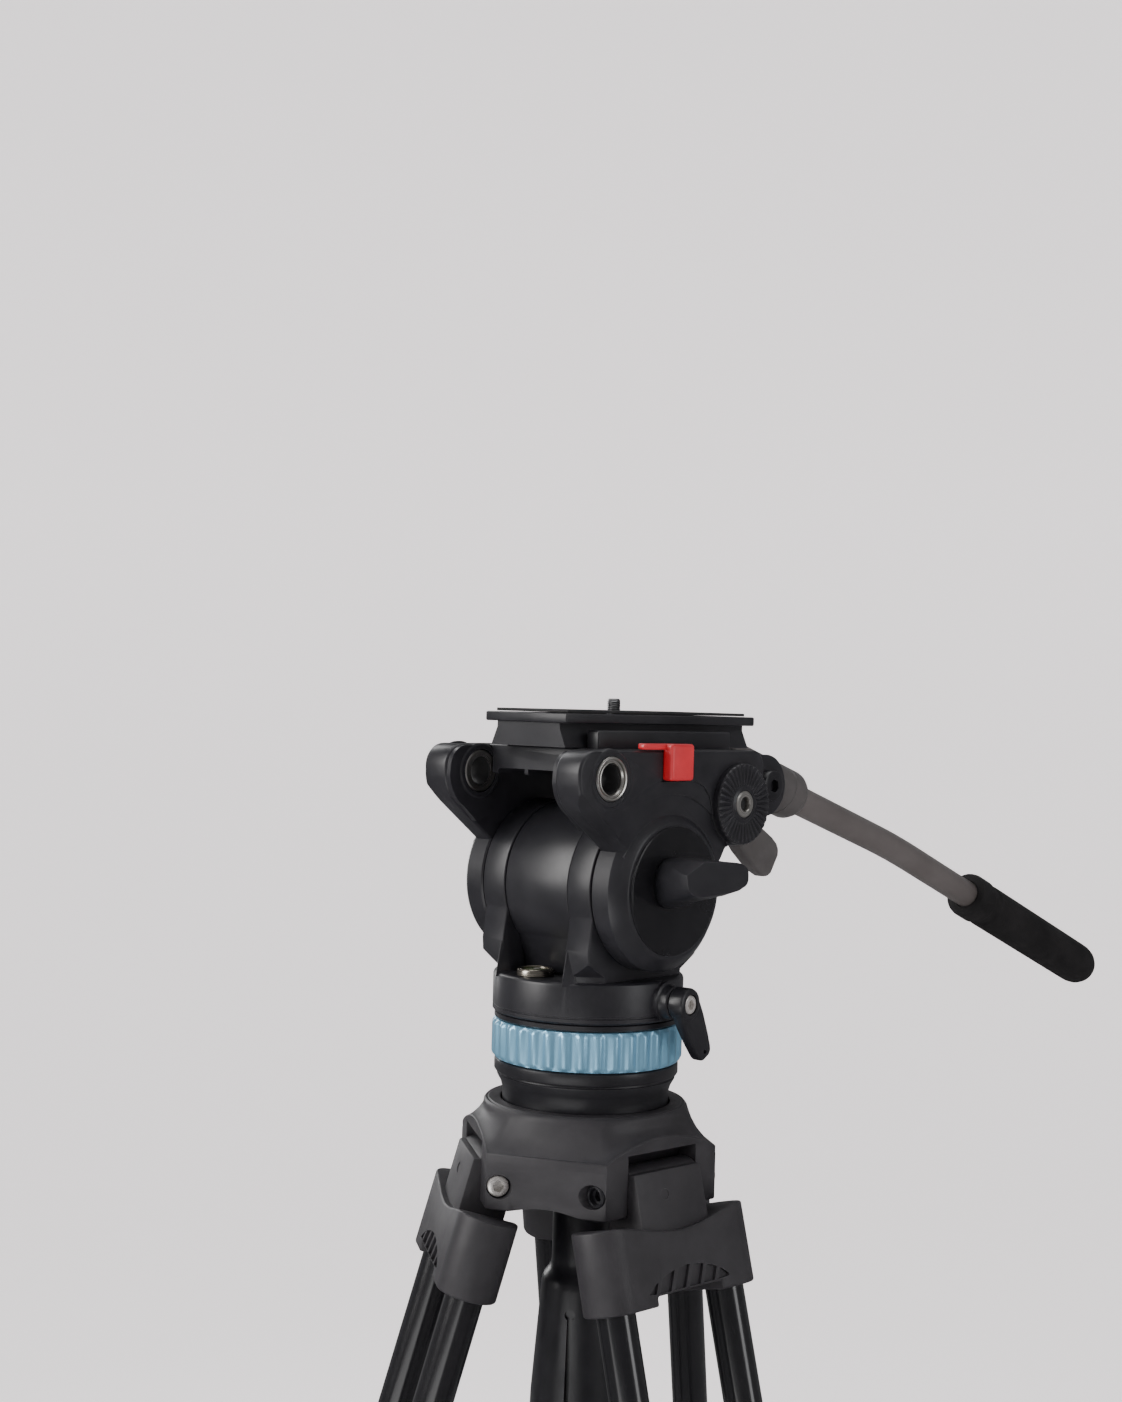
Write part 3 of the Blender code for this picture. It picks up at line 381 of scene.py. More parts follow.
def round_ends(half, radius, bulge=0.0, n=24):
    turn = math.degrees(math.asin((radius + 0.5) / bulge)) if bulge else 0
    points = [(half + radius * math.cos(math.radians(a)), radius * math.sin(math.radians(a))) for a in [-90 + 180 * i / n for i in range(n + 1)]]
    if bulge:
        points += [(bulge * math.cos(math.radians(a)), bulge * math.sin(math.radians(a))) for a in [turn + (180 - 2 * turn) * i / n for i in range(n + 1)]]
    return points + [(-x, -y) for x, y in points]


def boolean(obj, others, operation="DIFFERENCE"):
    for other in others:
        step = obj.modifiers.new(operation.lower(), "BOOLEAN")
        step.operation = operation
        step.solver = "EXACT"
        step.object = other
    bake(obj)
    for other in others:
        bpy.data.objects.remove(other, do_unlink=True)
    return obj


def rounded(obj, width, segments=2, angle=30):
    """Rounds the edges by width (mm) and keeps the flats flat to the eye."""
    bm = bmesh.new()
    bm.from_mesh(obj.data)
    bmesh.ops.dissolve_limit(bm, angle_limit=0.002, verts=bm.verts, edges=bm.edges)
    bm.to_mesh(obj.data)
    bm.free()
    step = obj.modifiers.new("Bevel", "BEVEL")
    step.width = width * MM
    step.segments = segments
    step.limit_method = "ANGLE"
    step.angle_limit = math.radians(angle)
    step.use_clamp_overlap = True
    step.miter_outer = "MITER_ARC"
    return bake(obj)


def arc(p, h, r, a0, a1, n):
    return [(p + r * math.cos(math.radians(a0 + (a1 - a0) * i / n)), h + r * math.sin(math.radians(a0 + (a1 - a0) * i / n))) for i in range(n + 1)]


def along_x(obj, p, h):
    return move(obj, shift(0, -p, Z_TOP - h) @ TO_X)


def radial(obj, azimuth, z):
    return move(obj, shift(0, 0, z) @ Matrix.Rotation(math.radians(azimuth - 90.0), 4, "Z"))


def joined(name, objects):
    """One object from several closed pieces that are fixed together."""
    bm = bmesh.new()
    for other in objects:
        bm.from_mesh(other.data)
        bpy.data.objects.remove(other, do_unlink=True)
    return from_bmesh(name, bm)


PLACED = []


def show(obj, node, mat, extra=False, at=None, smooth=32, body=None):
    """Names the piece, places it in the row frame, rides it on its body and hides the CAD node it stands for.
    at is the matrix from the piece's own axes (used for the material's grain) to the tripod's axes."""
    if not extra:
        obj.name = node + "_look"
    at = at or Matrix.Identity(4)
    obj.data.transform(at.inverted())
    obj.matrix_world = Matrix.Translation(AXIS) @ at
    obj.data.materials.clear()
    obj.data.materials.append(mat)
    for face in obj.data.polygons:
        face.use_smooth = True
    obj.data.set_sharp_from_angle(angle=math.radians(smooth))
    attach(obj, body or BODY_OF[node])
    if not extra:
        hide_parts(node)
    PLACED.append(obj)
    return obj


def hex_hole(radius, z0, z1):
    return turned("hex_hole", [(0, z1), (radius, z1), (radius, z0), (0, z0)], 6)


# ---------------------------------------------------------------- pan housing and drum
def hull(name, points):
    bm = bmesh.new()
    for x, y, z in points:
        bm.verts.new((x * MM, y * MM, z * MM))
    bmesh.ops.convex_hull(bm, input=bm.verts)
    bmesh.ops.delete(bm, geom=[v for v in bm.verts if not v.link_faces], context="VERTS")
    bmesh.ops.recalc_face_normals(bm, faces=bm.faces)
    return from_bmesh(name, bm)


housing = turned(
    "housing",
    [(0, base_z1), (BASE_R - 2.2, base_z1), (BASE_R - 1.0, base_z1 - 0.35), (BASE_R - 0.3, base_z1 - 1.0), (BASE_R, base_z1 - 2.0),
     (BASE_R, base_z0 + 3.2), (BASE_R - 0.5, base_z0 + 3.0), (BASE_R - 0.5, base_z0 + 2.4), (BASE_R, base_z0 + 2.2), (BASE_R, base_z0 + 0.8), (BASE_R - 0.7, base_z0), (0, base_z0)],
    144,
)
wall_outline = arc(0, TILT_H, CHEEK_R, -200, 20, 72) + [(35.8, BASE_TOP_H - 14), (34.4, BASE_TOP_H + 2), (-34.4, BASE_TOP_H + 2), (-35.8, BASE_TOP_H - 14)]
envelope = [(0, ZT + 60), (60, ZT + 60), (60, base_z1 + 20), (BASE_R - 1.6, base_z1 + 2.5), (BASE_R - 2.4, base_z1 - 6), (0, base_z1 - 6)]
for side in (-1, 1):
    x = sorted((side * 19.3, side * 33.0))
    wall = rounded(plate("wall", wall_outline, x[0], x[1]), 0.9, 3)
    boolean(wall, [turned("envelope", envelope, 96)], "INTERSECT")
    boolean(housing, [wall], "UNION")
    for front in (-1, 1):
        y = front
        rib = hull("rib", [(side * 16.5, y * 24, base_z1 - 2), (side * 26.0, y * 24, base_z1 - 2), (side * 17.5, y * 32.8, base_z1 - 2), (side * 24.4, y * 34.6, base_z1 - 2), (side * 20.3, y * 38.6, base_z1 - 2),
                           (side * 17.5, y * 32.0, base_z1 + 2), (side * 20.3, y * 37.6, base_z1 + 3), (side * 19.7, y * 33.4, base_z1 + 27), (side * 21.2, y * 33.4, base_z1 + 27), (side * 20.4, y * 26, base_z1 + 30)])
        boolean(housing, [rib], "UNION")
BOSS_Z = Z_TOP - 110.0
boss_turn = math.radians(95.0)
boss_axis = Vector((math.sin(boss_turn), -math.cos(boss_turn), 0))
boss = turned("boss", [(0, 49.0), (6.6, 49.0), (7.2, 48.4), (7.2, 45.6), (7.6, 44.8), (8.6, 44.3), (8.6, 36.0), (0, 36.0)], 64)
boolean(housing, [radial(move(boss, TO_X), 95.0, BOSS_Z)], "UNION")
pocket = turned("vial_pocket", [(0, base_z1 + 2), (8.6, base_z1 + 2), (8.6, base_z1 - 0.0), (0, base_z1 - 0.0)], 48)
for gone in (pocket,):
    bpy.data.objects.remove(gone, do_unlink=True)
boolean(housing, [along_x(cylinder("shaft_bore", 6.3, -40, 40, 32), 0, TILT_H), cylinder("spindle_bore", 8.3, base_z0 - 5, base_z0 + 12.3, 32), radial(move(cylinder("lock_bore", 2.8, 42, 60, 24), TO_X), 95.0, BOSS_Z)])
show(housing, "pan_housing", BLACK, smooth=28)

drum_outline = arc(0, TILT_H, DRUM_R, -222, 42, 88) + [(22.4, BASE_TOP_H - 5), (21.4, BASE_TOP_H - 0.3), (-21.4, BASE_TOP_H - 0.3), (-22.4, BASE_TOP_H - 5)]
drum = rounded(plate("drum", drum_outline, -19.0, 19.0), 0.5, 2)
boolean(drum, [along_x(cylinder("shaft_bore", 6.3, -40, 40, 32), 0, TILT_H)])
show(drum, "tilt_drum", DRUM, smooth=28)

show(turned("seat", [(41.2, base_z0 - 0.3), (42.0, base_z0 - 0.8), (42.0, ring_z1 + 0.9), (41.4, ring_z1 + 0.3), (29.4, ring_z1 + 0.3), (29.4, base_z0 - 0.3)], 128, closed=True), "seat_ring", DARK)

# bubble level: a brass rim round a domed window with the fluid, a centre circle and the bubble
vial_at = shift(-2.0, -32.2, base_z1)
rim = turned("rim", [(6.0, 3.1), (6.6, 3.4), (7.4, 3.3), (8.0, 2.7), (8.2, 2.0), (8.2, 0.3), (6.0, 0.3)], 72, closed=True)
show(move(rim, vial_at), "level_vial", BRASS, at=vial_at)
window = turned("window", [(0, 3.15), (2.0, 3.1), (4.0, 2.9), (5.4, 2.6), (5.9, 2.3), (5.9, 0.4), (0, 0.4)], 64)
window.name = "level_window"
show(move(window, vial_at), "level_vial", FLUID, extra=True, at=vial_at)
mark = turned("mark", [(2.5, 3.14), (2.75, 3.12), (2.75, 2.9), (2.5, 2.9)], 48, closed=True)
mark.name = "level_circle"
show(move(mark, vial_at), "level_vial", DARK, extra=True, at=vial_at)
bubble = turned("bubble", [(0, 3.32), (0.9, 3.28), (1.5, 3.16), (1.7, 3.0), (0, 2.9)], 40)
bubble.name = "level_bubble"
show(move(bubble, vial_at @ shift(0.5, 0.4, 0)), "level_vial", CHROME, extra=True, at=vial_at)

# pan lock lever: hub with a socket screw, tapered blade with facets and a small hole at its tip
hub = turned("hub", [(0, 57.2), (5.9, 57.2), (6.8, 56.7), (7.2, 55.8), (7.2, 50.2), (6.8, 49.6), (0, 49.4)], 64)
stem = cylinder("stem", 2.5, 43.0, 50.0, 24)
boolean(hub, [stem], "UNION")
move(hub, TO_X)
blade = outline_solid("blade", [(-6.9, 2), (-7.3, -4), (-7.2, -9), (-6.2, -18), (-5.1, -24.4), (-4.2, -26.6), (-2.4, -27.8), (2.4, -27.8), (4.2, -26.6), (5.1, -24.4), (6.2, -18), (7.2, -9), (7.3, -4), (6.9, 2)], 50.3, 56.5)
bm = bmesh.new()
bm.from_mesh(blade.data)
for v in bm.verts:
    z = -v.co.z / MM
    middle = 53.4 + 0.045 * z
    half = 3.1 - 0.022 * z
    v.co.x = (middle + half * (1 if v.co.x / MM > 53.4 else -1)) * MM
bm.to_mesh(blade.data)
bm.free()
rounded(blade, 1.1, 3)
boolean(blade, [move(cylinder("tip_hole", 1.0, 50, 62, 20), shift(0, 0, -24.6) @ TO_X)])
move(blade, Matrix.Rotation(math.radians(28.0), 4, "X"))
boolean(hub, [blade], "UNION")
boolean(hub, [move(cylinder("screw_seat", 4.6, 54.6, 60, 40), TO_X)])
lever_at = shift(0, 0, BOSS_Z) @ Matrix.Rotation(math.radians(5.0), 4, "Z")
show(radial(hub, 95.0, BOSS_Z), "pan_lock_lever", DARK, smooth=30)
head = turned("screw", [(0, 57.0), (3.6, 57.0), (4.1, 56.6), (4.3, 56.0), (4.3, 54.7), (0, 54.7)], 48)
boolean(head, [hex_hole(2.3, 55.0, 60)])
head.name = "pan_lock_screw"
show(radial(move(head, TO_X), 95.0, BOSS_Z), "pan_lock_lever", CHROME, extra=True, at=lever_at @ TO_X)

# ---------------------------------------------------------------- cheeks
FACE = 48.0
LOW_FACE = 46.7


def cheek_blank():
    web = (
        arc(50, 10, 10, -90, 0, 12)
        + arc(EAR_P, EAR_H, EAR_R, 6, 54, 14)
        + [(32.2, 42.6), (26.0, 50.0), (-29.0, 55.0), (-35.0, 48.0), (-38.0, 43.0)]
        + arc(ROSETTE_P, ROSETTE_H, ROSETTE_R, 96, 180, 22)
        + [(-63.3, 12), (-63.0, 6.0), (-61.6, 2.6), (-59.5, 0.7), (-57, 0)]
    )
    body = rounded(plate("web", web, CHEEK_IN, FACE), 1.5, 4)
    # the diagonal facet under the front ear
    side = Vector((0, 0.8, -0.6))
    normal = (Vector((1, 0, 0)) * 0.62 + Vector((0, -0.6, -0.8)) * 0.78).normalized()
    third = normal.cross(side)
    facet = box("facet", (-34, 16), (-15, 15), (0, 20))
    frame_matrix = Matrix(((side.x, third.x, normal.x, 0), (side.y, third.y, normal.y, 0), (side.z, third.z, normal.z, 0), (0, 0, 0, 1)))
    point = Vector((FACE, -42.0 + 0.6 * 3.4, Z_TOP - 34.5 + 0.8 * 3.4)) * MM
    move(facet, Matrix.Translation(point) @ frame_matrix)
    # the lower web, bounded above by an S-shaped step from the ear to the button
    step = [(47.5, 33.0), (45.0, 26.4), (41.0, 25.0), (38.0, 24.7), (34.0, 24.2), (30.0, 23.2), (26.0, 21.0), (22.0, 18.0), (18.0, 15.6), (14.0, 14.0), (9.0, 13.2), (-9.0, 13.2), (-15.0, 13.6),
            (-20.5, 16.0), (-24.5, 20.5), (-26.3, 26.0), (-26.5, 31.0), (-30.0, 38.0), (-34.0, 42.0), (-44.0, 60.0), (-60.0, 100.0), (70.0, 100.0), (70.0, 52.0)]
    panel = plate("panel", step, FACE - 0.7, FACE + 6)
    annulus = along_x(cylinder("annulus", 42.0, LOW_FACE - 0.1, FACE + 8, 160), 0, TILT_H)
    boolean(body, [facet, panel, annulus])
    rounded(body, 0.25, 2, 38)
    disc = turned("disc", [(0, 49.5), (29.4, 49.5), (30.2, 49.2), (35.5, 44.4), (36.0, 43.4), (36.0, CHEEK_IN + 0.8), (35.4, CHEEK_IN), (0, CHEEK_IN)], 160)
    boolean(body, [along_x(disc, 0, TILT_H)], "UNION")
    # inner ear block with its gusset facets
    ear = arc(49.6, 10, 9.4, -86, 0, 12) + arc(EAR_P, EAR_H, EAR_R - 0.6, 6, 60, 14) + [(42.5, 34.5), (34.6, 32.0), (34.6, 0.62)]
    boolean(body, [plate("ear", ear, EAR_IN, CHEEK_IN + 1.0)], "UNION")
    inner = turned("inner_boss", [(0, 33.0), (12.4, 33.0), (12.4, 31.5), (11.6, 30.9), (0, 30.9)], 64)
    outer = turned("outer_boss", [(0, FACE + 0.5), (11.6, FACE + 0.5), (12.4, FACE), (12.8, FACE - 0.6), (12.9, FACE - 2.5), (0, FACE - 2.5)], 72)
    boolean(body, [along_x(inner, EAR_P, EAR_H)], "UNION")
    boolean(body, [along_x(outer, EAR_P, EAR_H)], "UNION")
    lug = turned("lug", [(0, FACE + 0.1), (17.4, FACE + 0.1), (18.6, FACE - 0.8), (19.0, FACE - 2.0), (19.0, FACE - 4.0), (0, FACE - 4.0)], 96)
    boolean(body, [along_x(lug, ROSETTE_P, ROSETTE_H)], "UNION")
    cuts = [
        along_x(cylinder("ear_bore", 9.8, 20, 60, 64), EAR_P, EAR_H),
        along_x(cylinder("shaft_bore", 6.3, 20, 44.4, 32), 0, TILT_H),
        along_x(turned("cover_seat", [(0, 52), (28.35, 52), (28.35, 48.25), (0, 48.25)], 144), 0, TILT_H),
        along_x(turned("gap_ring", [(28.35, 51.0), (28.9, 51.0), (28.9, 48.3), (28.35, 48.3)], 128, closed=True), 0, TILT_H),
    ]
    return boolean(body, cuts)


cheek = cheek_blank()
right = new_object("right", cheek.data.copy())
move(right, Matrix.Diagonal((-1, 1, 1, 1)))
boolean(cheek, [box("button_pocket", (43.8, 60), (-8.1, 8.1), (Z_TOP - 13.6, Z_TOP + 20)), along_x(cylinder("knob_bore", 4.6, 44.0, 60, 32), 0, TILT_H)])
boolean(right, [along_x(cylinder("lock_bore", 3.3, -60, -20, 24), -12.0, 7.0)])
show(cheek, "left_cheek", BLACK, smooth=26)
show(right, "right_cheek", BLACK, smooth=26)

for side, name in ((1, "left"), (-1, "right")):
    bush = turned("bush", [(6.4, 31.0), (8.9, 31.0), (9.5, 31.5), (9.5, 48.7), (9.2, 49.05), (8.8, 49.2), (8.3, 49.0), (8.1, 48.2), (7.7, 48.2), (7.5, 48.8), (7.0, 48.9), (6.6, 48.4), (6.4, 47.6)][::-1], 72, closed=True)
    # dark lining in the bushing's bore: painted shade inside the hole
    sleeve = turned("sleeve", [(5.9, 31.9), (6.4, 31.7), (6.4, 47.2), (6.2, 47.5), (5.9, 47.0)][::-1], 72, closed=True)
    sleeve.name = f"{name}_bushing_thread_painted_shade"
    at = shift(0, -EAR_P, Z_TOP - EAR_H) @ TO_X
    if side < 0:
        at = Matrix.Diagonal((-1, 1, 1, 1)) @ at
        move(bush, at)
        move(sleeve, at)
        at = shift(0, -EAR_P, Z_TOP - EAR_H) @ TO_X
    else:
        move(bush, at)
        move(sleeve, at)
    show(bush, f"{name}_bushing", STEEL_BRIGHT, at=at)
    show(sleeve, f"{name}_bushing", BORE_SHADE, extra=True, at=at)

    # toothed rosette with a threaded steel insert
    bm = bmesh.new()
    teeth, per = 36, 6
    rings = []
    radii = ((18.3, 48.3, 0), (18.3, 50.7, 0), (17.9, 51.0, 0.35), (16.0, 50.95, 1.0), (12.0, 50.95, 0.85), (9.2, 50.95, 0.5), (8.6, 50.95, 0.0), (7.6, 50.95, 0.0), (6.3, 51.5, 0.0), (6.2, 48.3, 0.0))
    for r, x, share in radii:
        loop = []
        for i in range(teeth * per):
            t = math.tau * i / (teeth * per)
            phase = abs((i % per) / per - 0.5) * 2
            rise = 0.95 * share * max(0.0, min(1.0, 1.5 - 2 * phase + 0.2))
            loop.append(bm.verts.new((r * math.cos(t) * MM, r * math.sin(t) * MM, (x + rise) * MM)))
        rings.append(loop)
    n = teeth * per
    for a, b in zip(rings, rings[1:] + rings[:1]):
        for i in range(n):
            bm.faces.new((a[i], a[(i + 1) % n], b[(i + 1) % n], b[i]))
    bmesh.ops.recalc_face_normals(bm, faces=bm.faces)
    rosette = from_bmesh("rosette", bm)
    insert = turned("insert", [(3.0, 51.2), (3.4, 51.9), (5.4, 51.9), (6.0, 51.5), (6.15, 50.8), (6.15, 48.3), (3.0, 48.3)], 64, closed=True)
    # dark disc down in the insert's hole: painted shade
    plug = turned("plug", [(0, 49.6), (3.3, 49.6), (3.3, 48.4), (0, 48.4)], 32)
    at = shift(0, -ROSETTE_P, Z_TOP - ROSETTE_H) @ TO_X
    mirror = Matrix.Diagonal((side, 1, 1, 1))
    for obj in (rosette, insert, plug):
        move(obj, mirror @ at)
    show(rosette, f"{name}_rosette", BLACK, at=at, smooth=20)
    insert.name = f"{name}_rosette_insert"
    show(insert, f"{name}_rosette", STEEL_BRIGHT, extra=True, at=at)
    plug.name = f"{name}_rosette_thread_painted_shade"
    show(plug, f"{name}_rosette", BORE_SHADE, extra=True, at=at)

    inner_r = 7.0 if side > 0 else 0.0
    profile = [(inner_r, 50.3), (27.3, 50.3), (27.9, 50.15), (28.2, 49.9), (28.3, 49.5), (28.3, 48.3), (inner_r, 48.3)]
    cover = turned("cover", profile, 144, closed=side > 0)
    if side > 0:
        pass
    move(cover, mirror @ shift(0, 0, Z_TOP - TILT_H) @ TO_X)
    show(cover, f"{name}_cover", GLOSS)

# ---------------------------------------------------------------- platform, arm, plate
deck = rounded(box("deck", (-33.3, 33.3), (-34.3, 58.0), (Z_TOP - 13.0, Z_TOP)), 0.8, 3)
for side in (-1, 1):
    low, high = (22.8, 30.2) if side > 0 else (-30.2, -22.8)
    jaw = rounded(box("jaw", (low, high), (-30.0, 60.0), (Z_TOP - 1.0, Z_TOP + 8.0)), 1.2, 3)
    boolean(deck, [jaw], "UNION")
under = rounded(box("under", (-27, 27), (-40, 50), (Z_TOP - 20, Z_TOP - 10.4)), 1.5, 2)
ribs = [box("rib", (x - 1.1, x + 1.1), (-36, 52), (Z_TOP - 14, Z_TOP - 10.0)) for x in (-9, 9)]
for rib in ribs:
    boolean(under, [rib])
boolean(deck, [under])
boolean(deck, [along_x(cylinder("bushing_room", 9.9, x0, x1, 48), EAR_P, EAR_H) for x0, x1 in ((-36, -30.6), (30.6, 36))])
show(deck, "platform", BLACK, smooth=28)

arm = rounded(plate("arm", arc(ARM_P, ARM_H, ARM_R, 90, 270, 40) + [(-80, 3.0), (-56, 1.5), (-56, 12.0), (-84, 30.0)], 7.3, 18.0), 1.2, 3)
boolean(arm, [along_x(cylinder("pivot_bore", 4.3, 0, 30, 32), ARM_P, ARM_H)])
boolean(arm, [box("deck_room", (0, 30), (40.0, 58.3), (Z_TOP - 14, Z_TOP + 20)), box("top_room", (0, 30), (40.0, 60.3), (Z_TOP - 0.4, Z_TOP + 20))])
show(arm, "bar_arm", BLACK)

button = rounded(box("button", (47.0, 53.0), (-7.6, 7.6), (Z_TOP - 13.0, Z_TOP + 3.0)), 1.5, 4)
lip = rounded(box("lip", (45.0, 49.4), (-21.5, 0.0), (Z_TOP + 0.4, Z_TOP + 3.0)), 0.8, 3)
boolean(button, [lip], "UNION")
show(button, "safety_button", RED)

# tilt lock knob: a round root that flattens into a paddle cut off on a slant
SECTIONS = (
    (50.35, 4.0, 57.3, 9.6, 10.7, 2.3), (51.0, 4.0, 57.2, 9.9, 11.0, 2.4), (56.0, 5.2, 56.2, 10.8, 10.8, 2.8), (62.0, 6.8, 55.0, 11.5, 9.9, 3.2),
    (70.0, 8.6, 53.9, 11.9, 8.8, 3.6), (80.0, 10.2, 52.8, 12.0, 7.4, 3.8), (88.0, 11.3, 51.4, 11.6, 6.2, 3.8), (91.0, 11.7, 50.8, 10.8, 5.2, 3.6), (92.4, 11.9, 50.5, 9.6, 4.2, 3.4),
)
bm = bmesh.new()
loops = []
COUNT = 64
fine = []
for a, b in zip(SECTIONS, SECTIONS[1:]):
    for k in range(3):
        fine.append([u + (v - u) * k / 3 for u, v in zip(a, b)])
fine.append(SECTIONS[-1])
for x, p, h, half_p, half_h, power in fine:
    loop = []
    for i in range(COUNT):
        t = math.tau * i / COUNT
        c, s = math.cos(t), math.sin(t)
        k = (abs(c) ** power + abs(s) ** power) ** (-1 / power)
        loop.append(bm.verts.new((x * MM, (-p - half_p * k * c) * MM, (Z_TOP - h + half_h * k * s) * MM)))
    loops.append(loop)
for a, b in zip(loops, loops[1:]):
    for i in range(COUNT):
        j = (i + 1) % COUNT
        bm.faces.new((a[i], a[j], b[j], b[i]))
bm.faces.new(list(reversed(loops[0])))
bm.faces.new(loops[-1])
bmesh.ops.recalc_face_normals(bm, faces=bm.faces)
knob = from_bmesh("knob", bm)
slant = box("slant", (-40, 40), (-40, 40), (0, 30))
move(slant, shift(92.0, -2.0, Z_TOP - 57) @ Matrix.Rotation(math.radians(-40), 4, "Z") @ Matrix.Rotation(math.radians(80), 4, "Y"))
boolean(knob, [slant])
crest = box("crest", (-80, 80), (-40, 40), (0, 30))
move(crest, shift(70.0, -17.6, Z_TOP - 48.0) @ Matrix.Rotation(math.radians(42.0), 4, "X"))
boolean(knob, [crest])
rounded(knob, 0.6, 3, 30)
boolean(knob, [along_x(cylinder("knob_stem", 4.2, 44.6, 55.0, 32), 0, TILT_H)], "UNION")
show(knob, "tilt_lock_knob", BLACK, smooth=30)

lock = turned("lock", [(0, 66.0), (7.4, 66.0), (8.4, 65.6), (9.0, 64.8), (9.0, 52.0), (8.6, 51.2), (8.0, 51.0), (3.0, 50.5), (3.0, 36.0), (0, 36.0)], 72)
for i in range(18):
    t = math.tau * i / 18
    boolean(lock, [move(cylinder("flute", 0.9, 53.5, 64.0, 10), shift(9.3 * math.cos(t), 9.3 * math.sin(t)))])
move(lock, Matrix.Rotation(math.pi, 4, "X"))
lock_at = shift(0, 12.0, Z_TOP - 7.0) @ TO_X
show(along_x(lock, -12.0, 7.0), "plate_lock_knob", DARK, at=lock_at)

PLATE_Y = (-45.0, 84.0)
flange = rounded(box("flange", (-25.0, 25.0), PLATE_Y, (Z_TOP + 10.8, Z_TOP + 15.0)), 0.8, 3)
dovetail = outline_solid("dovetail", [(-22.5, 0.3), (22.5, 0.3), (22.5, 1.0), (19.2, 8.3), (19.2, 11.5), (-19.2, 11.5), (-19.2, 8.3), (-22.5, 1.0)], PLATE_Y[0] + 2, PLATE_Y[1] - 2)
move(dovetail, shift(0, 0, Z_TOP) @ Matrix.Rotation(math.radians(90.0), 4, "Z"))
boolean(flange, [dovetail], "UNION")
boolean(flange, [box("slot", (-3.5, 3.5), (-25, 62), (Z_TOP - 5, Z_TOP + 30)), box("slot_floor", (-8.5, 8.5), (-30, 67), (Z_TOP - 5, Z_TOP + 8.0))])
show(flange, "camera_plate", BLACK, smooth=28)
pad = rounded(box("pad", (-22.0, 22.0), (PLATE_Y[0] + 4, PLATE_Y[1] - 4), (Z_TOP + 15.3, Z_TOP + 16.6)), 0.3, 2)
boolean(pad, [box("pad_slot", (-5.0, 5.0), (-27, 64), (Z_TOP + 10, Z_TOP + 20))])
grooves = []
for i in range(28):
    y = PLATE_Y[0] + 8 + i * 4.2
    grooves.append(box("groove", (-20.6, -6.2), (y, y + 1.4), (Z_TOP + 16.1, Z_TOP + 18)))
    grooves.append(box("groove", (6.2, 20.6), (y, y + 1.4), (Z_TOP + 16.1, Z_TOP + 18)))
boolean(pad, [joined("grooves", grooves)])
show(pad, "plate_pad", RUBBER)
screw = turned("screw", [(0, 22.0), (2.3, 22.0), (2.8, 21.4)] + [(2.75 + 0.35 * (k % 2), 21.0 - 0.42 * k) for k in range(30)] + [(3.1, 7.7), (7.4, 7.7), (7.9, 7.2), (7.9, 3.6), (7.4, 3.1), (0, 3.1)], 64)
screw_at = shift(0, 12.0, Z_TOP)
move(screw, screw_at)
boolean(screw, [box("coin_slot", (-10, 10), (11.2, 12.8), (Z_TOP, Z_TOP + 4.6))])
show(screw, "camera_screw", STEEL, at=screw_at)


# ---------------------------------------------------------------- pan bar
slope = Matrix.Rotation(-BAR_SLOPE, 4, "X")
PIVOT_Y, PIVOT_Z = -ARM_P, Z_TOP - ARM_H
BAR_UP = 8.2
clamp_at = shift(0, PIVOT_Y, PIVOT_Z) @ slope
LIE = Matrix.Rotation(-math.pi / 2, 4, "X")
bar_at = clamp_at @ shift(BAR_X, 0, BAR_UP) @ LIE

clamp = move(turned("clamp", [(0, 51.2), (9.6, 51.2), (10.6, 50.8), (11.2, 50.0), (12.4, 47.4), (12.6, 46.0), (12.6, 38.2), (12.2, 37.8), (12.2, 37.0), (12.6, 36.6), (12.6, -12.4), (12.2, -13.4), (11.2, -14.0), (0, -14.0)], 112), bar_at)
disc = turned("disc", [(0, 7.0), (13.4, 7.0), (14.2, 6.6), (14.6, 5.8), (14.6, -17.4), (14.2, -18.2), (13.4, -18.6), (0, -18.6)], 96)
boolean(clamp, [move(disc, clamp_at @ TO_X)], "UNION")
KNOB_AT = clamp_at @ shift(BAR_X, 7.5, -18.8) @ Matrix.Rotation(math.radians(75.4), 4, "X")
boolean(clamp, [move(rounded(box("lug", (-5.8, 5.8), (-5.8, 5.8), (0.0, 15.0)), 1.0, 2), KNOB_AT)], "UNION")
boolean(clamp, [move(cylinder("tube_bore", 7.7, 5.4, 60.0, 64), bar_at), move(cylinder("pivot_bolt_bore", 4.3, 2.1, 12.0, 32), clamp_at @ TO_X), move(cylinder("screw_bore", 2.6, -2.0, 8.0, 24), KNOB_AT)])
show(clamp, "bar_clamp", SATIN_CAST, at=bar_at, smooth=30)

bolt_at = shift(0, PIVOT_Y, PIVOT_Z) @ slope @ TO_X
bolt = turned("bolt", [(0, 22.6), (6.2, 22.6), (7.1, 22.2), (7.5, 21.4), (7.5, 18.4), (4.0, 18.3), (4.0, 2.4), (0, 2.4)], 64)
boolean(bolt, [hex_hole(3.4, 19.4, 24)])
show(move(bolt, bolt_at), "bar_pivot_bolt", DARK, at=bolt_at)

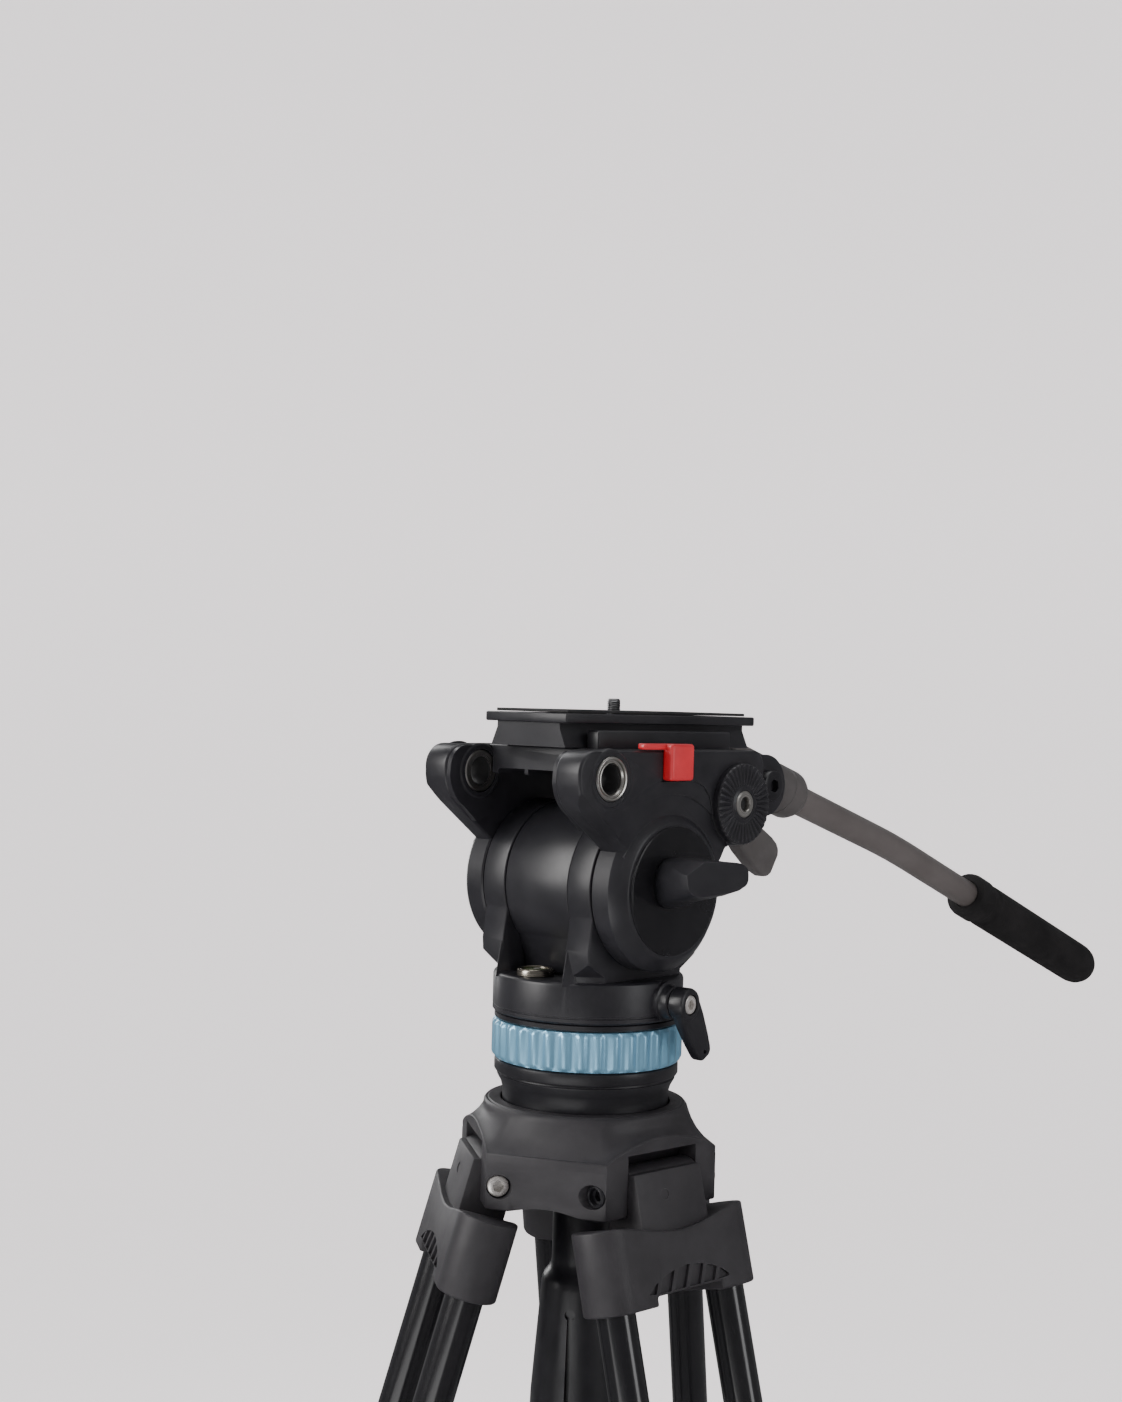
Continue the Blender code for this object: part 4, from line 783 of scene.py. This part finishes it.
wing = turned("wing", [(0, 7.0), (2.3, 7.0), (2.3, -0.3), (4.6, -0.4), (5.4, -0.9), (5.6, -1.8), (5.6, -9.0), (4.6, -11.0), (0, -11.0)], 48)
outline = [(-5.6, -3.0), (-6.6, -6.0), (-8.6, -13.0), (-9.9, -22.0), (-10.3, -30.0), (-9.8, -35.0), (-8.0, -38.4), (-5.2, -40.0), (5.2, -40.0), (8.0, -38.4), (9.8, -35.0), (10.3, -30.0), (9.9, -22.0), (8.6, -13.0), (6.6, -6.0), (5.6, -3.0)]
paddle = outline_solid("paddle", outline, -4.4, 4.4)
bm = bmesh.new()
bm.from_mesh(paddle.data)
for v in bm.verts:
    z = -v.co.z / MM
    v.co.x *= 1.0 - 0.010 * max(0.0, z - 16.0)
bm.to_mesh(paddle.data)
bm.free()
rounded(paddle, 1.7, 4)
boolean(wing, [paddle], "UNION")
show(move(wing, KNOB_AT), "bar_knob", SATIN_CAST, at=KNOB_AT, smooth=30)

BEND_FROM, BEND_LENGTH, BEND = 127.0, 40.0, math.radians(3.7)
GRIP_FROM, GRIP_LENGTH, TUBE_INSIDE = 229.0, 148.0, 116.0
line = [(6.0, 0.0), (60.0, 0.0), (BEND_FROM, 0.0)]
for i in range(1, 13):
    t = BEND * i / 12
    line.append((BEND_FROM + BEND_LENGTH / BEND * math.sin(t), -BEND_LENGTH / BEND * (1 - math.cos(t))))
bend_end = line[-1]


def along_bar(s):
    rest = s - BEND_FROM - BEND_LENGTH
    return bend_end[0] + rest * math.cos(BEND), bend_end[1] - rest * math.sin(BEND)


line.append(along_bar(GRIP_FROM + TUBE_INSIDE))
curve = bpy.data.curves.new("bar", "CURVE")
curve.dimensions = "3D"
curve.bevel_depth = 7.5 * MM
curve.bevel_resolution = 14
curve.use_fill_caps = True
spline = curve.splines.new("POLY")
spline.points.add(len(line) - 1)
for point, (s, up) in zip(spline.points, line):
    point.co = (0, s * MM, up * MM, 1)
tube_at = clamp_at @ shift(BAR_X, 0, BAR_UP)
show(move(bake(new_object("bar", curve)), tube_at), "pan_bar", SATIN, at=tube_at)

G = GRIP_LENGTH
profile = [(0, G), (3.5, G), (6.5, G - 0.5), (8.8, G - 1.7), (10.6, G - 3.8), (11.8, G - 6.8), (12.4, G - 10.5), (12.5, G - 16.0)]
profile += [(12.5, 22.5), (12.3, 21.4), (11.8, 20.6), (11.6, 19.6), (11.6, 15.4), (11.8, 14.6), (12.7, 14.0), (13.0, 13.0), (13.0, 3.4), (12.7, 1.8), (11.9, 0.7), (10.6, 0.2), (7.8, 0.0), (7.8, TUBE_INSIDE + 0.3), (0, TUBE_INSIDE + 0.3)]
grip = turned("grip", profile, 112)
start = along_bar(GRIP_FROM)
grip_at = clamp_at @ shift(BAR_X, start[0], BAR_UP + start[1]) @ Matrix.Rotation(-BEND, 4, "X") @ LIE
show(move(grip, grip_at), "bar_grip", FOAM, at=grip_at)

# ---------------------------------------------------------------- clamp ring, half ball, tie-down
FLUTES, PER = 36, 10


def fluted(name, levels, inner):
    """A ring whose outer wall carries flutes: levels are (z, radius, flute depth)."""
    bm = bmesh.new()
    n = FLUTES * PER
    loops = []
    for z, r, depth in levels:
        loop = []
        for i in range(n):
            t = math.tau * i / n
            u = (i % PER) / PER
            scoop = max(0.0, math.sin(math.pi * min(1.0, max(0.0, (u - 0.16) / 0.68)))) ** 0.75
            rr = r - depth * scoop
            loop.append(bm.verts.new((rr * math.cos(t) * MM, rr * math.sin(t) * MM, z * MM)))
        loops.append(loop)
    for z in (levels[-1][0], levels[0][0]):
        loops.append([bm.verts.new((inner * math.cos(math.tau * i / n) * MM, inner * math.sin(math.tau * i / n) * MM, z * MM)) for i in range(n)])
    for a, b in zip(loops, loops[1:] + loops[:1]):
        for i in range(n):
            bm.faces.new((a[i], b[i], b[(i + 1) % n], a[(i + 1) % n]))
    bmesh.ops.recalc_face_normals(bm, faces=bm.faces)
    return from_bmesh(name, bm)


ring_levels = [(ring_z1, 41.0, 0.0), (ring_z1 - 0.25, 41.5, 0.0), (ring_z1 - 0.5, 41.75, 0.35), (ring_z1 - 1.3, 42.5, 1.0), (ring_z1 - 1.9, 42.85, 1.35), (ring_z1 - 2.6, 43.0, 1.5),
               (ring_z0 + 2.6, 43.0, 1.5), (ring_z0 + 1.9, 42.85, 1.35), (ring_z0 + 1.3, 42.5, 1.0), (ring_z0 + 0.5, 41.75, 0.35), (ring_z0 + 0.25, 41.5, 0.0), (ring_z0, 41.0, 0.0)]
ring_at = shift(0, 0, ring_z0)
show(fluted("blue", ring_levels, 29.4), "clamp_ring", BLUE, at=ring_at, smooth=38)

sphere = [(BALL_R * math.cos(t), ZC - BALL_R * math.sin(t)) for t in [math.radians(54.1) * i / 24 for i in range(25)]]
ball = turned(
    "ball",
    [(8.3, base_z0 - 0.4), (28.6, base_z0 - 0.4), (29.1, base_z0 - 0.9), (29.1, ring_z0 - 0.3), (40.7, ring_z0 - 0.3), (41.4, ring_z0 - 0.8), (41.5, ring_z0 - 1.4), (41.5, ring_z0 - 5.2), (41.2, ring_z0 - 5.7), (40.2, ring_z0 - 5.9), (39.7, ring_z0 - 6.3), (39.8, ring_z0 - 6.9),
     (40.3, ring_z0 - 7.2), (40.2, ring_z0 - 7.8), (38.4, ZC + 7.0), (37.6, ZC + 4.0), (37.45, ZC + 2.0)]
    + sphere
    + [(5.3, ZC - 30.38), (5.3, ZC - 19.0), (8.3, ZC - 19.0)],
    144,
    closed=True,
)
ball_at = shift(0, 0, ZC)
show(ball, "half_ball", DARK, at=ball_at)
rod = turned("rod", [(0, ZC - 20.0), (5.0, ZC - 20.0), (5.0, ZC - 44.0)] + [(4.95 - 0.55 * (k % 2), ZC - 44.4 - 0.75 * k) for k in range(56)] + [(4.4, ZC - 88.0), (0, ZC - 88.0)], 48)
show(rod, "tie_rod", STEEL, at=ball_at)
show(cylinder("spindle", 8.0, ZC + 4.0, base_z0 + 12.0, 64), "pan_spindle", STEEL, at=ball_at)
show(along_x(cylinder("shaft", 6.0, -44.0, 44.0, 48), 0, TILT_H), "tilt_shaft", STEEL, at=shift(0, 0, ZT) @ TO_X)


def dish(radius, r0, r1, n):
    return [(r, ZC - math.sqrt(radius**2 - r**2)) for r in [r0 + (r1 - r0) * i / n for i in range(n + 1)]]


washer = turned("washer", dish(42.0, 0, 21.0, 12) + dish(44.9, 21.5, 0, 12), 96)
slot = box("rod_slot", (-6.4, 6.4), (-5.6, 5.6), (ZC - 60, ZC - 20))
boolean(slot, [move(cylinder("slot_end", 5.6, ZC - 60, ZC - 20, 32), shift(side * 6.4)) for side in (-1, 1)], "UNION")
boolean(washer, [slot])
show(washer, "tie_washer", STEEL, at=ball_at)

handle = turned(
    "handle",
    [(0, ZC - 88.4), (5.4, ZC - 88.4)] + dish(45.2, 5.4, 12.0, 5)
    + [(12.6, ZC - 43.6), (13.0, ZC - 44.4), (13.0, ZC - 73.5), (13.4, ZC - 75.6), (14.6, ZC - 77.6), (16.2, ZC - 79.6), (17.0, ZC - 81.6), (17.4, ZC - 84.4), (21.0, ZC - 133.0), (21.2, ZC - 140.0), (20.8, ZC - 143.2), (19.4, ZC - 145.6), (17.0, ZC - 146.8), (0, ZC - 147.0)],
    112,
)
for k in range(3):
    turn = Matrix.Rotation(math.radians(30 + 120 * k), 4, "Z")
    long_slot = box("long_slot", (-1.1, 1.1), (-26, -16.5), (ZC - 136, ZC - 96))
    round_top = move(cylinder("round_top", 2.4, 16.5, 26, 24), shift(0, 0, ZC - 94) @ Matrix.Rotation(math.radians(90), 4, "X"))
    boolean(handle, [move(long_slot, turn), move(round_top, turn)])
show(handle, "tie_handle", DARK, at=ball_at, smooth=30)

# ---------------------------------------------------------------- crown
N = 144
LEG_FLAT, GAP_FLAT = 50.4, 54.0
MEET = math.atan((GAP_FLAT - LEG_FLAT / 2) / math.sin(math.radians(60.0)) / LEG_FLAT)
ANGLES = [math.tau * i / N for i in range(N)]
for k in range(3):
    for side in (-1, 1):
        corner = (k * math.tau / 3 + side * MEET) % math.tau
        nearest = min(range(N), key=lambda i: abs(math.tau * i / N - corner))
        ANGLES[nearest] = corner


def hexagon(r, t):
    reach = min((LEG_FLAT, GAP_FLAT)[i % 2] / math.cos(t - math.radians(60.0 * i)) for i in range(6) if math.cos(t - math.radians(60.0 * i)) > 0.3)
    radius = reach * r / CROWN_R
    turn = math.radians(LEG_AZIMUTHS[0]) + t
    return Vector((radius * math.sin(turn), -radius * math.cos(turn)))


def circle(r, t):
    turn = math.radians(LEG_AZIMUTHS[0]) + t
    return Vector((r * math.sin(turn), -r * math.cos(turn)))


def arch(t):
    """Lifts the edge over the middle of each leg's face."""
    third = math.tau / 3
    off = abs((t + third / 2) % third - third / 2)
    return 8.0 * math.cos(math.pi / 2 * off / MEET) ** 0.7 if off < MEET - 1e-6 else 0.0


EDGE = CROWN_EDGE - 3.0
levels = [
    (0, CROWN_R - 0.5, 50, CROWN_BOTTOM, 0), (0, CROWN_R, 50, CROWN_BOTTOM + 0.6, 0), (0, CROWN_R, 50, EDGE - 3.6, 0.8), (0.0, CROWN_R - 0.15, 50, EDGE - 3.1, 0.9), (0.0, CROWN_R - 0.1, 50, EDGE - 0.5, 1.0),
    (0.0, CROWN_R - 0.5, 50, EDGE, 1.0), (0.01, CROWN_R - 1.3, 50, EDGE + 0.2, 1.0), (0.14, CROWN_R - 4.0, 49.6, EDGE + 3.0, 0.8), (0.34, CROWN_R - 6.8, 49.0, EDGE + 6.5, 0.5), (0.54, CROWN_R - 9.3, 48.2, EDGE + 10.0, 0.25),
    (0.74, CROWN_R - 11.6, 47.3, EDGE + 13.0, 0.1), (0.88, CROWN_R - 13.2, 46.5, EDGE + 14.8, 0.03), (0.97, 46, 45.6, EDGE + 15.6, 0), (1, 0, 44.9, EDGE + 16.2, 0), (1, 0, 44.0, ZC - 1.0, 0), (1, 0, 43.4, ZC - 0.5, 0), (1, 0, 42.2, ZC - 0.4, 0),
]
bm = bmesh.new()
loops = []
for f, r_hex, r_round, z, lift in levels:
    loop = []
    for t in ANGLES:
        flat = hexagon(r_hex, t) * (1 - f) + circle(r_round, t) * f if r_hex else circle(r_round, t)
        rise = arch(t) * lift * (1.0 if z > EDGE - 3.7 else 0.0)
        loop.append(bm.verts.new((flat.x * MM, flat.y * MM, (z + rise) * MM)))
    loops.append(loop)
for a, b in zip(loops, loops[1:]):
    for i in range(N):
        j = (i + 1) % N
        bm.faces.new((a[i], a[j], b[j], b[i]))
bm.faces.new(list(reversed(loops[0])))
bm.faces.new(loops[-1])
bmesh.ops.recalc_face_normals(bm, faces=bm.faces)
crown = from_bmesh("crown_body", bm)
bowl = turned("bowl", [(0, ZC + 10), (39.0, ZC + 10), (39.0, ZC + 0.2), (BOWL_R, ZC - 0.9)] + [(BOWL_R * math.cos(t), ZC - BOWL_R * math.sin(t)) for t in [math.radians(2.0 + 66.3 * i / 24) for i in range(25)]] + [(14.0, ZC - 60), (0, ZC - 60)], 112)
pocket = turned("pocket", dish(41.3, 0, 29.5, 10) + [(29.5, ZC - 70), (0, ZC - 70)], 96)
boolean(crown, [bowl, pocket])
slot_outline = [(70, ZH - 30), (70, ZH + 16.2), (46.5, ZH + 16.2), (43.5, ZH + 15.2), (40.5, ZH + 12), (33.4, ZH + 4), (32.4, ZH), (32.4, ZH - 30)]
for azimuth in LEG_AZIMUTHS:
    turn = Matrix.Rotation(math.radians(azimuth), 4, "Z")
    cutter = move(outline_solid("leg_slot", [(-r, z) for r, z in slot_outline], -20.6, 20.6), turn)
    hinge = turn @ shift(0, -HINGE_R, ZH) @ TO_X
    bore = move(turned("pin_bore", [(0, 50), (5.2, 50), (5.2, 28.4), (4.3, 28.4), (4.3, -28.4), (5.2, -28.4), (5.2, -50), (0, -50)], 48), hinge)
    boolean(crown, [cutter, bore])
for azimuth in LEG_AZIMUTHS:
    # each gap face: its bottom edge is arched
    turn = Matrix.Rotation(math.radians(azimuth + 60.0), 4, "Z")
    notch = outline_solid("notch", [(-17.0, CROWN_BOTTOM - 5)] + [(-17.0 + 34.0 * i / 16, CROWN_BOTTOM + 2.6 * math.sin(math.pi * i / 16)) for i in range(17)] + [(17.0, CROWN_BOTTOM - 5)], -62, -40)
    move(notch, turn @ Matrix.Rotation(math.radians(90.0), 4, "Z"))
    boolean(crown, [notch])
rounded(crown, 0.45, 2, 50)
show(crown, "crown", GREY, smooth=30)

# ---------------------------------------------------------------- legs
def hinge_matrix(azimuth):
    a = math.radians(azimuth)
    return Matrix.Translation(Vector((HINGE_R * math.sin(a), -HINGE_R * math.cos(a), ZH)) * MM) @ Matrix.Rotation(a, 4, "Z") @ Matrix.Rotation(-LEAN, 4, "X")


def leg_shoulder():
    body = prism("shoulder", round_ends(TUBE_X, 13.5, n=40), -48.0, -13.5)
    top = outline_solid("top", [(-48, -13.0), (-40, -13.2), (-30, -14.4), (-20, -16.6), (-12, -18.4), (0, -19.5), (12, -18.4), (20, -16.6), (30, -14.4), (40, -13.2), (48, -13.0), (48, -5.0), (-48, -5.0)], -20, 20)
    move(top, Matrix.Rotation(math.radians(-90.0), 4, "Z"))
    under = prism("under", [(-19.5, -20), (19.5, -20), (19.5, 20), (-19.5, 20)], -60, -44.0)
    boolean(body, [top, under])
    rounded(body, 1.0, 3, 35)
    # a lens-shaped panel with slanting slots along the lower front
    lens = [(-25.0, -42.6), (-20.0, -39.0), (-14.0, -36.4), (-7.0, -34.6), (0.0, -34.0), (7.0, -34.6), (14.0, -36.4), (20.0, -39.0), (25.0, -42.6), (19.0, -43.1), (-19.0, -43.1)]
    cuts = []
    for k in range(6):
        x = -25.5 + 8.8 * k
        quad = [(x - 4.4, -48.5), (x + 2.4, -48.5), (x + 9.2, -34.0), (x + 2.4, -34.0)]
        bar = outline_solid("slit", quad, 0, 1)
        bar.data.transform(Matrix(((0, 1, 0, 0), (1, 0, 0, 0), (0, 0, 1, 0), (0, 0, 0, 1))))
        bar.data.flip_normals()
        bm = bmesh.new()
        bm.from_mesh(bar.data)
        for v in bm.verts:
            v.co.y = (-14.4 if v.co.y / MM < 0.5 else -11.6) * MM
        bmesh.ops.recalc_face_normals(bm, faces=bm.faces)
        bm.to_mesh(bar.data)
        bm.free()
        shape = outline_solid("lens", lens, 0, 1)
        shape.data.transform(Matrix(((0, 1, 0, 0), (1, 0, 0, 0), (0, 0, 1, 0), (0, 0, 0, 1))))
        bm = bmesh.new()
        bm.from_mesh(shape.data)
        for v in bm.verts:
            v.co.y = (-14.6 if v.co.y / MM < 0.5 else -12.0) * MM
        bmesh.ops.recalc_face_normals(bm, faces=bm.faces)
        bm.to_mesh(shape.data)
        bm.free()
        boolean(bar, [shape], "INTERSECT")
        cuts.append(bar)
    for bar in cuts:
        boolean(body, [bar])
    points = [(10.3 * math.cos(math.radians(a)), 10.3 * math.sin(math.radians(a))) for a in range(0, 141, 5)] + [(-10.6, 6.0), (-10.6, -24.0), (10.3, -24.0)]
    knuckle = rounded(outline_solid("knuckle", points, -20.0, 20.0), 0.7, 2, 40)
    boolean(body, [knuckle], "UNION")
    mark = turned("mark", [(0, 2), (2.4, 2), (2.4, -0.35), (0, -0.35)], 32)
    boolean(body, [move(mark, shift(-4.0, -10.6, -4.0) @ Matrix.Rotation(math.radians(90), 4, "X"))])
    bores = [move(cylinder("socket", TUBE_R + 0.3, -60.0, -20.0, 48), shift(side * TUBE_X)) for side in (-1, 1)]
    bores.append(move(cylinder("pin_bore", 4.3, -30, 30, 32), TO_X))
    boolean(body, bores)
    return body


def leg_collar():
    body = rounded(prism("collar", round_ends(TUBE_X, 14.0, 18.5, n=36), COLLAR_BOTTOM, COLLAR_TOP), 1.4, 4, 40)
    band = boolean(prism("band", round_ends(TUBE_X, 15.0, 19.5, n=36), COLLAR_TOP - 34.0, COLLAR_TOP - 31.6), [prism("band_in", round_ends(TUBE_X, 13.6, 18.1, n=36), COLLAR_TOP - 35.0, COLLAR_TOP - 30.0)])
    boolean(body, [band])
    lugs = [rounded(box("lug", (s * 14.6 - 2.2, s * 14.6 + 2.2), (-26.0, -8.0), (COLLAR_TOP - 16, COLLAR_TOP - 3)), 0.8, 2) for s in (-1, 1)]
    boolean(body, lugs, "UNION")
    cuts = [move(cylinder("socket", TUBE_R + 0.3, TUBE_END - 0.3, 0, 48), shift(side * TUBE_X)) for side in (-1, 1)]
    cuts.append(cylinder("guide", LOWER_R + 0.3, COLLAR_BOTTOM - 5, COLLAR_TOP + 5, 72))
    cuts.append(move(cylinder("lever_bore", 2.0, -20, 20, 24), shift(0, -21.5, COLLAR_TOP - 9.5) @ TO_X))
    cuts.append(box("slit", (-1.2, 1.2), (-25, -5), (COLLAR_BOTTOM - 5, COLLAR_TOP + 5)))
    boolean(body, cuts)
    return body


LEVER_Y, LEVER_Z = -21.5, COLLAR_TOP - 9.5


def leg_lever():
    outline = [(-4.2, 0), (-4.0, 1.4), (-3.2, 2.7), (-1.6, 3.4), (0, 3.6), (1.4, 2.8), (2.2, 1.6), (2.4, 0.0), (2.4, -6), (1.6, -45.0), (0.4, -47.9), (-1.0, -48.5), (-2.6, -47.9), (-3.4, -46.5), (-3.9, -38), (-4.4, -30)]
    body = rounded(outline_solid("lever", [(LEVER_Y + y, LEVER_Z + z) for y, z in outline], -12.0, 12.0), 0.9, 3, 25)
    ribs = [move(box("rib", (-9, 9), (-6.0, -3.3), (z - 0.5, z + 0.5)), shift(0, LEVER_Y, LEVER_Z)) for z in (-32, -35, -38, -41, -44)]
    for rib in ribs:
        boolean(body, [rib])
    return boolean(body, [move(cylinder("pin", 1.7, -16.4, 16.4, 24), shift(0, LEVER_Y, LEVER_Z) @ TO_X)], "UNION")


def leg_tube(x):
    return move(turned("tube", [(7.1, TUBE_TOP), (TUBE_R - 0.3, TUBE_TOP), (TUBE_R, TUBE_TOP - 0.3), (TUBE_R, TUBE_END + 0.3), (TUBE_R - 0.3, TUBE_END), (7.1, TUBE_END)], 72, closed=True), shift(x))


def leg_lower():
    body = turned("lower", [(11.4, LOWER_TOP), (LOWER_R - 0.4, LOWER_TOP), (LOWER_R, LOWER_TOP - 0.4), (LOWER_R, -(FOOT_T - 22.4)), (LOWER_R - 0.4, -(FOOT_T - 22.0)), (11.4, -(FOOT_T - 22.0))], 96, closed=True)
    slider = rounded(box("slider", (-TUBE_X, TUBE_X), (-9.0, 9.0), (LOWER_TOP - 30, LOWER_TOP - 2)), 1.2, 3)
    boolean(slider, [move(cylinder("groove", TUBE_R + 0.3, -400, -200, 48), shift(side * TUBE_X)) for side in (-1, 1)])
    boolean(slider, [cylinder("core", 12.2, -400, -200, 64)])
    return boolean(body, [slider], "UNION")


def leg_foot():
    t = FOOT_T
    profile = [(0, -t + 21.7), (13.3, -t + 21.7), (13.3, -t + 46), (15.6, -t + 46), (16.6, -t + 45.4), (17.4, -t + 44), (17.6, -t + 42)]
    for k in range(5):
        z = -t + 40.0 - 3.4 * k
        profile += [(17.6, z), (17.0, z - 0.6), (17.0, z - 1.2), (17.6, z - 1.8)]
    profile += [(17.6, -t + 22.5), (18.2, -t + 18.5), (19.0, -t + 14), (19.0, -t - 8), (0, -t - 8)]
    body = turned("foot", profile, 80)
    floor = box("floor", (-60, 60), (-60, 60), (-40, 0))
    move(floor, Matrix.Rotation(LEAN, 4, "X"))
    move(floor, shift(0, 0, -t))
    return boolean(body, [floor])


def leg_pin():
    body = turned("pin", [(0, 35.0), (3.6, 35.0), (4.4, 34.6), (4.7, 33.8), (4.7, 28.7), (4.0, 28.7), (4.0, -28.7), (0, -28.7)], 56)
    boolean(body, [hex_hole(2.7, 31.0, 40)])
    return move(body, TO_X)


def pin_end():
    """The dark socket nut on the pin's far end."""
    body = turned("nut", [(0, -28.8), (4.95, -28.8), (4.95, -34.4), (4.5, -34.9), (3.9, -35.0), (3.5, -34.6), (3.3, -32.4), (0, -32.4)], 56)
    boolean(body, [hex_hole(2.5, -40, -30.2)])
    return move(body, TO_X)


leg_shapes = {
    "shoulder": (leg_shoulder(), GREY, 30),
    "collar": (leg_collar(), GREY, 30),
    "lock_lever": (leg_lever(), DARK, 30),
    "tube_a": (leg_tube(-TUBE_X), TUBE, 30),
    "tube_b": (leg_tube(TUBE_X), TUBE, 30),
    "lower_tube": (leg_lower(), LOWER, 30),
    "foot": (leg_foot(), RUBBER, 30),
    "hinge_pin": (leg_pin(), CHROME, 30),
}
for number, azimuth in enumerate(LEG_AZIMUTHS, 1):
    at = hinge_matrix(azimuth)
    for kind, (shape, mat, angle) in leg_shapes.items():
        node = f"leg_{number}_{kind}"
        copy = new_object(node + "_new", shape.data.copy())
        show(move(copy, at), node, mat, at=at, smooth=angle)
    nut = pin_end()
    nut.name = f"leg_{number}_pin_nut"
    show(move(nut, at), f"leg_{number}_hinge_pin", DARK, extra=True, at=at @ TO_X, smooth=30)
for shape, _, _ in leg_shapes.values():
    bpy.data.objects.remove(shape, do_unlink=True)

# ---------------------------------------------------------------- studio
def cove():
    profile = [(0.0, 0.0), (3.4, 0.0)] + [(3.4 + 1.6 * math.sin(t), 1.6 - 1.6 * math.cos(t)) for t in [math.pi / 2 * i / 16 for i in range(1, 17)]] + [(5.0, 6.5)]
    bm = bmesh.new()
    points = [bm.verts.new((r, 0, z)) for r, z in profile]
    for a, b in zip(points, points[1:]):
        bm.edges.new((a, b))
    obj = from_bmesh("studio_cove", bm)
    screw = obj.modifiers.new("Screw", "SCREW")
    screw.steps = screw.render_steps = 96
    screw.use_merge_vertices = True
    screw.merge_threshold = 1e-5
    screw.use_smooth_shade = True
    obj = bake(obj)
    for face in obj.data.polygons:
        face.use_smooth = True
    made, tree, shader = nodes_of("studio_paper")
    drift, _ = noise(tree, 1.4, 3.0)
    tree.links.new(mixed(tree, drift.outputs["Fac"], (0.66, 0.640, 0.645), (0.70, 0.682, 0.686)), shader.inputs["Base Color"])
    shader.inputs["Roughness"].default_value = 0.9
    shader.inputs["Specular IOR Level"].default_value = 0.1
    shader.inputs["Emission Color"].default_value = (0.70, 0.675, 0.68, 1)
    shader.inputs["Emission Strength"].default_value = PAPER_GLOW
    obj.data.materials.append(made)
    return obj


PAPER_GLOW = 1.02
backdrop = cove()
backdrop.visible_glossy = False

world = bpy.data.worlds.new("studio")
world.use_nodes = True
world.node_tree.nodes["Background"].inputs["Color"].default_value = (0.86, 0.85, 0.87, 1)
world.node_tree.nodes["Background"].inputs["Strength"].default_value = 0.20
bpy.context.scene.world = world


def area(name, where, aim, size, power, colour=(1, 1, 1)):
    light = bpy.data.lights.new(name, "AREA")
    light.shape = "RECTANGLE"
    light.size, light.size_y = size
    light.energy = power
    light.color = colour
    obj = bpy.data.objects.new(name, light)
    bpy.context.scene.collection.objects.link(obj)
    obj.location = where
    obj.rotation_euler = (Vector(aim) - Vector(where)).to_track_quat("-Z", "Y").to_euler()
    obj.visible_camera = False
    return obj


HEAD = AXIS + Vector((0, 0, 0.93))
toward = Vector((0.682, -0.731, 0.0))
right_of = Vector((0.731, 0.682, 0.0))
up = Vector((0, 0, 1))
area("key", HEAD + toward * 0.7 - right_of * 1.7 + up * 0.75, HEAD, (0.9, 1.5), 40.0, (1.0, 0.985, 0.97))
area("fill", HEAD + toward * 1.0 + right_of * 1.7 + up * 0.5, HEAD, (0.6, 1.6), 10.0, (0.98, 0.99, 1.0))
area("top", HEAD - toward * 0.3 + up * 1.8, HEAD, (1.6, 1.6), 16.0)
area("rim", HEAD - toward * 1.3 - right_of * 0.9 + up * 0.6, HEAD, (0.4, 1.6), 12.0)
area("low", HEAD + toward * 1.2 - right_of * 0.6 - up * 0.7, HEAD - up * 0.4, (1.2, 0.8), 6.0)

# ---------------------------------------------------------------- camera
FOCAL = 1900.0  # pixels of a 1122 x 1402 image
camera = bpy.data.cameras.new("camera")
camera.sensor_width = 36.0
camera.lens = FOCAL * 36.0 / 1402.0
eye = bpy.data.objects.new("camera", camera)
bpy.context.scene.collection.objects.link(eye)
DISTANCE, EYE_Z, ROLL = 0.86, 1.0542, math.radians(1.6)
eye.location = AXIS + toward * DISTANCE + up * EYE_Z
target = AXIS - right_of * (DISTANCE * 35.0 / FOCAL) + up * EYE_Z
look = (target - eye.location).to_track_quat("-Z", "Y").to_matrix().to_4x4()
eye.matrix_world = Matrix.Translation(eye.location) @ look @ Matrix.Rotation(ROLL, 4, "Z")
bpy.context.scene.camera = eye

bpy.context.view_layer.update()
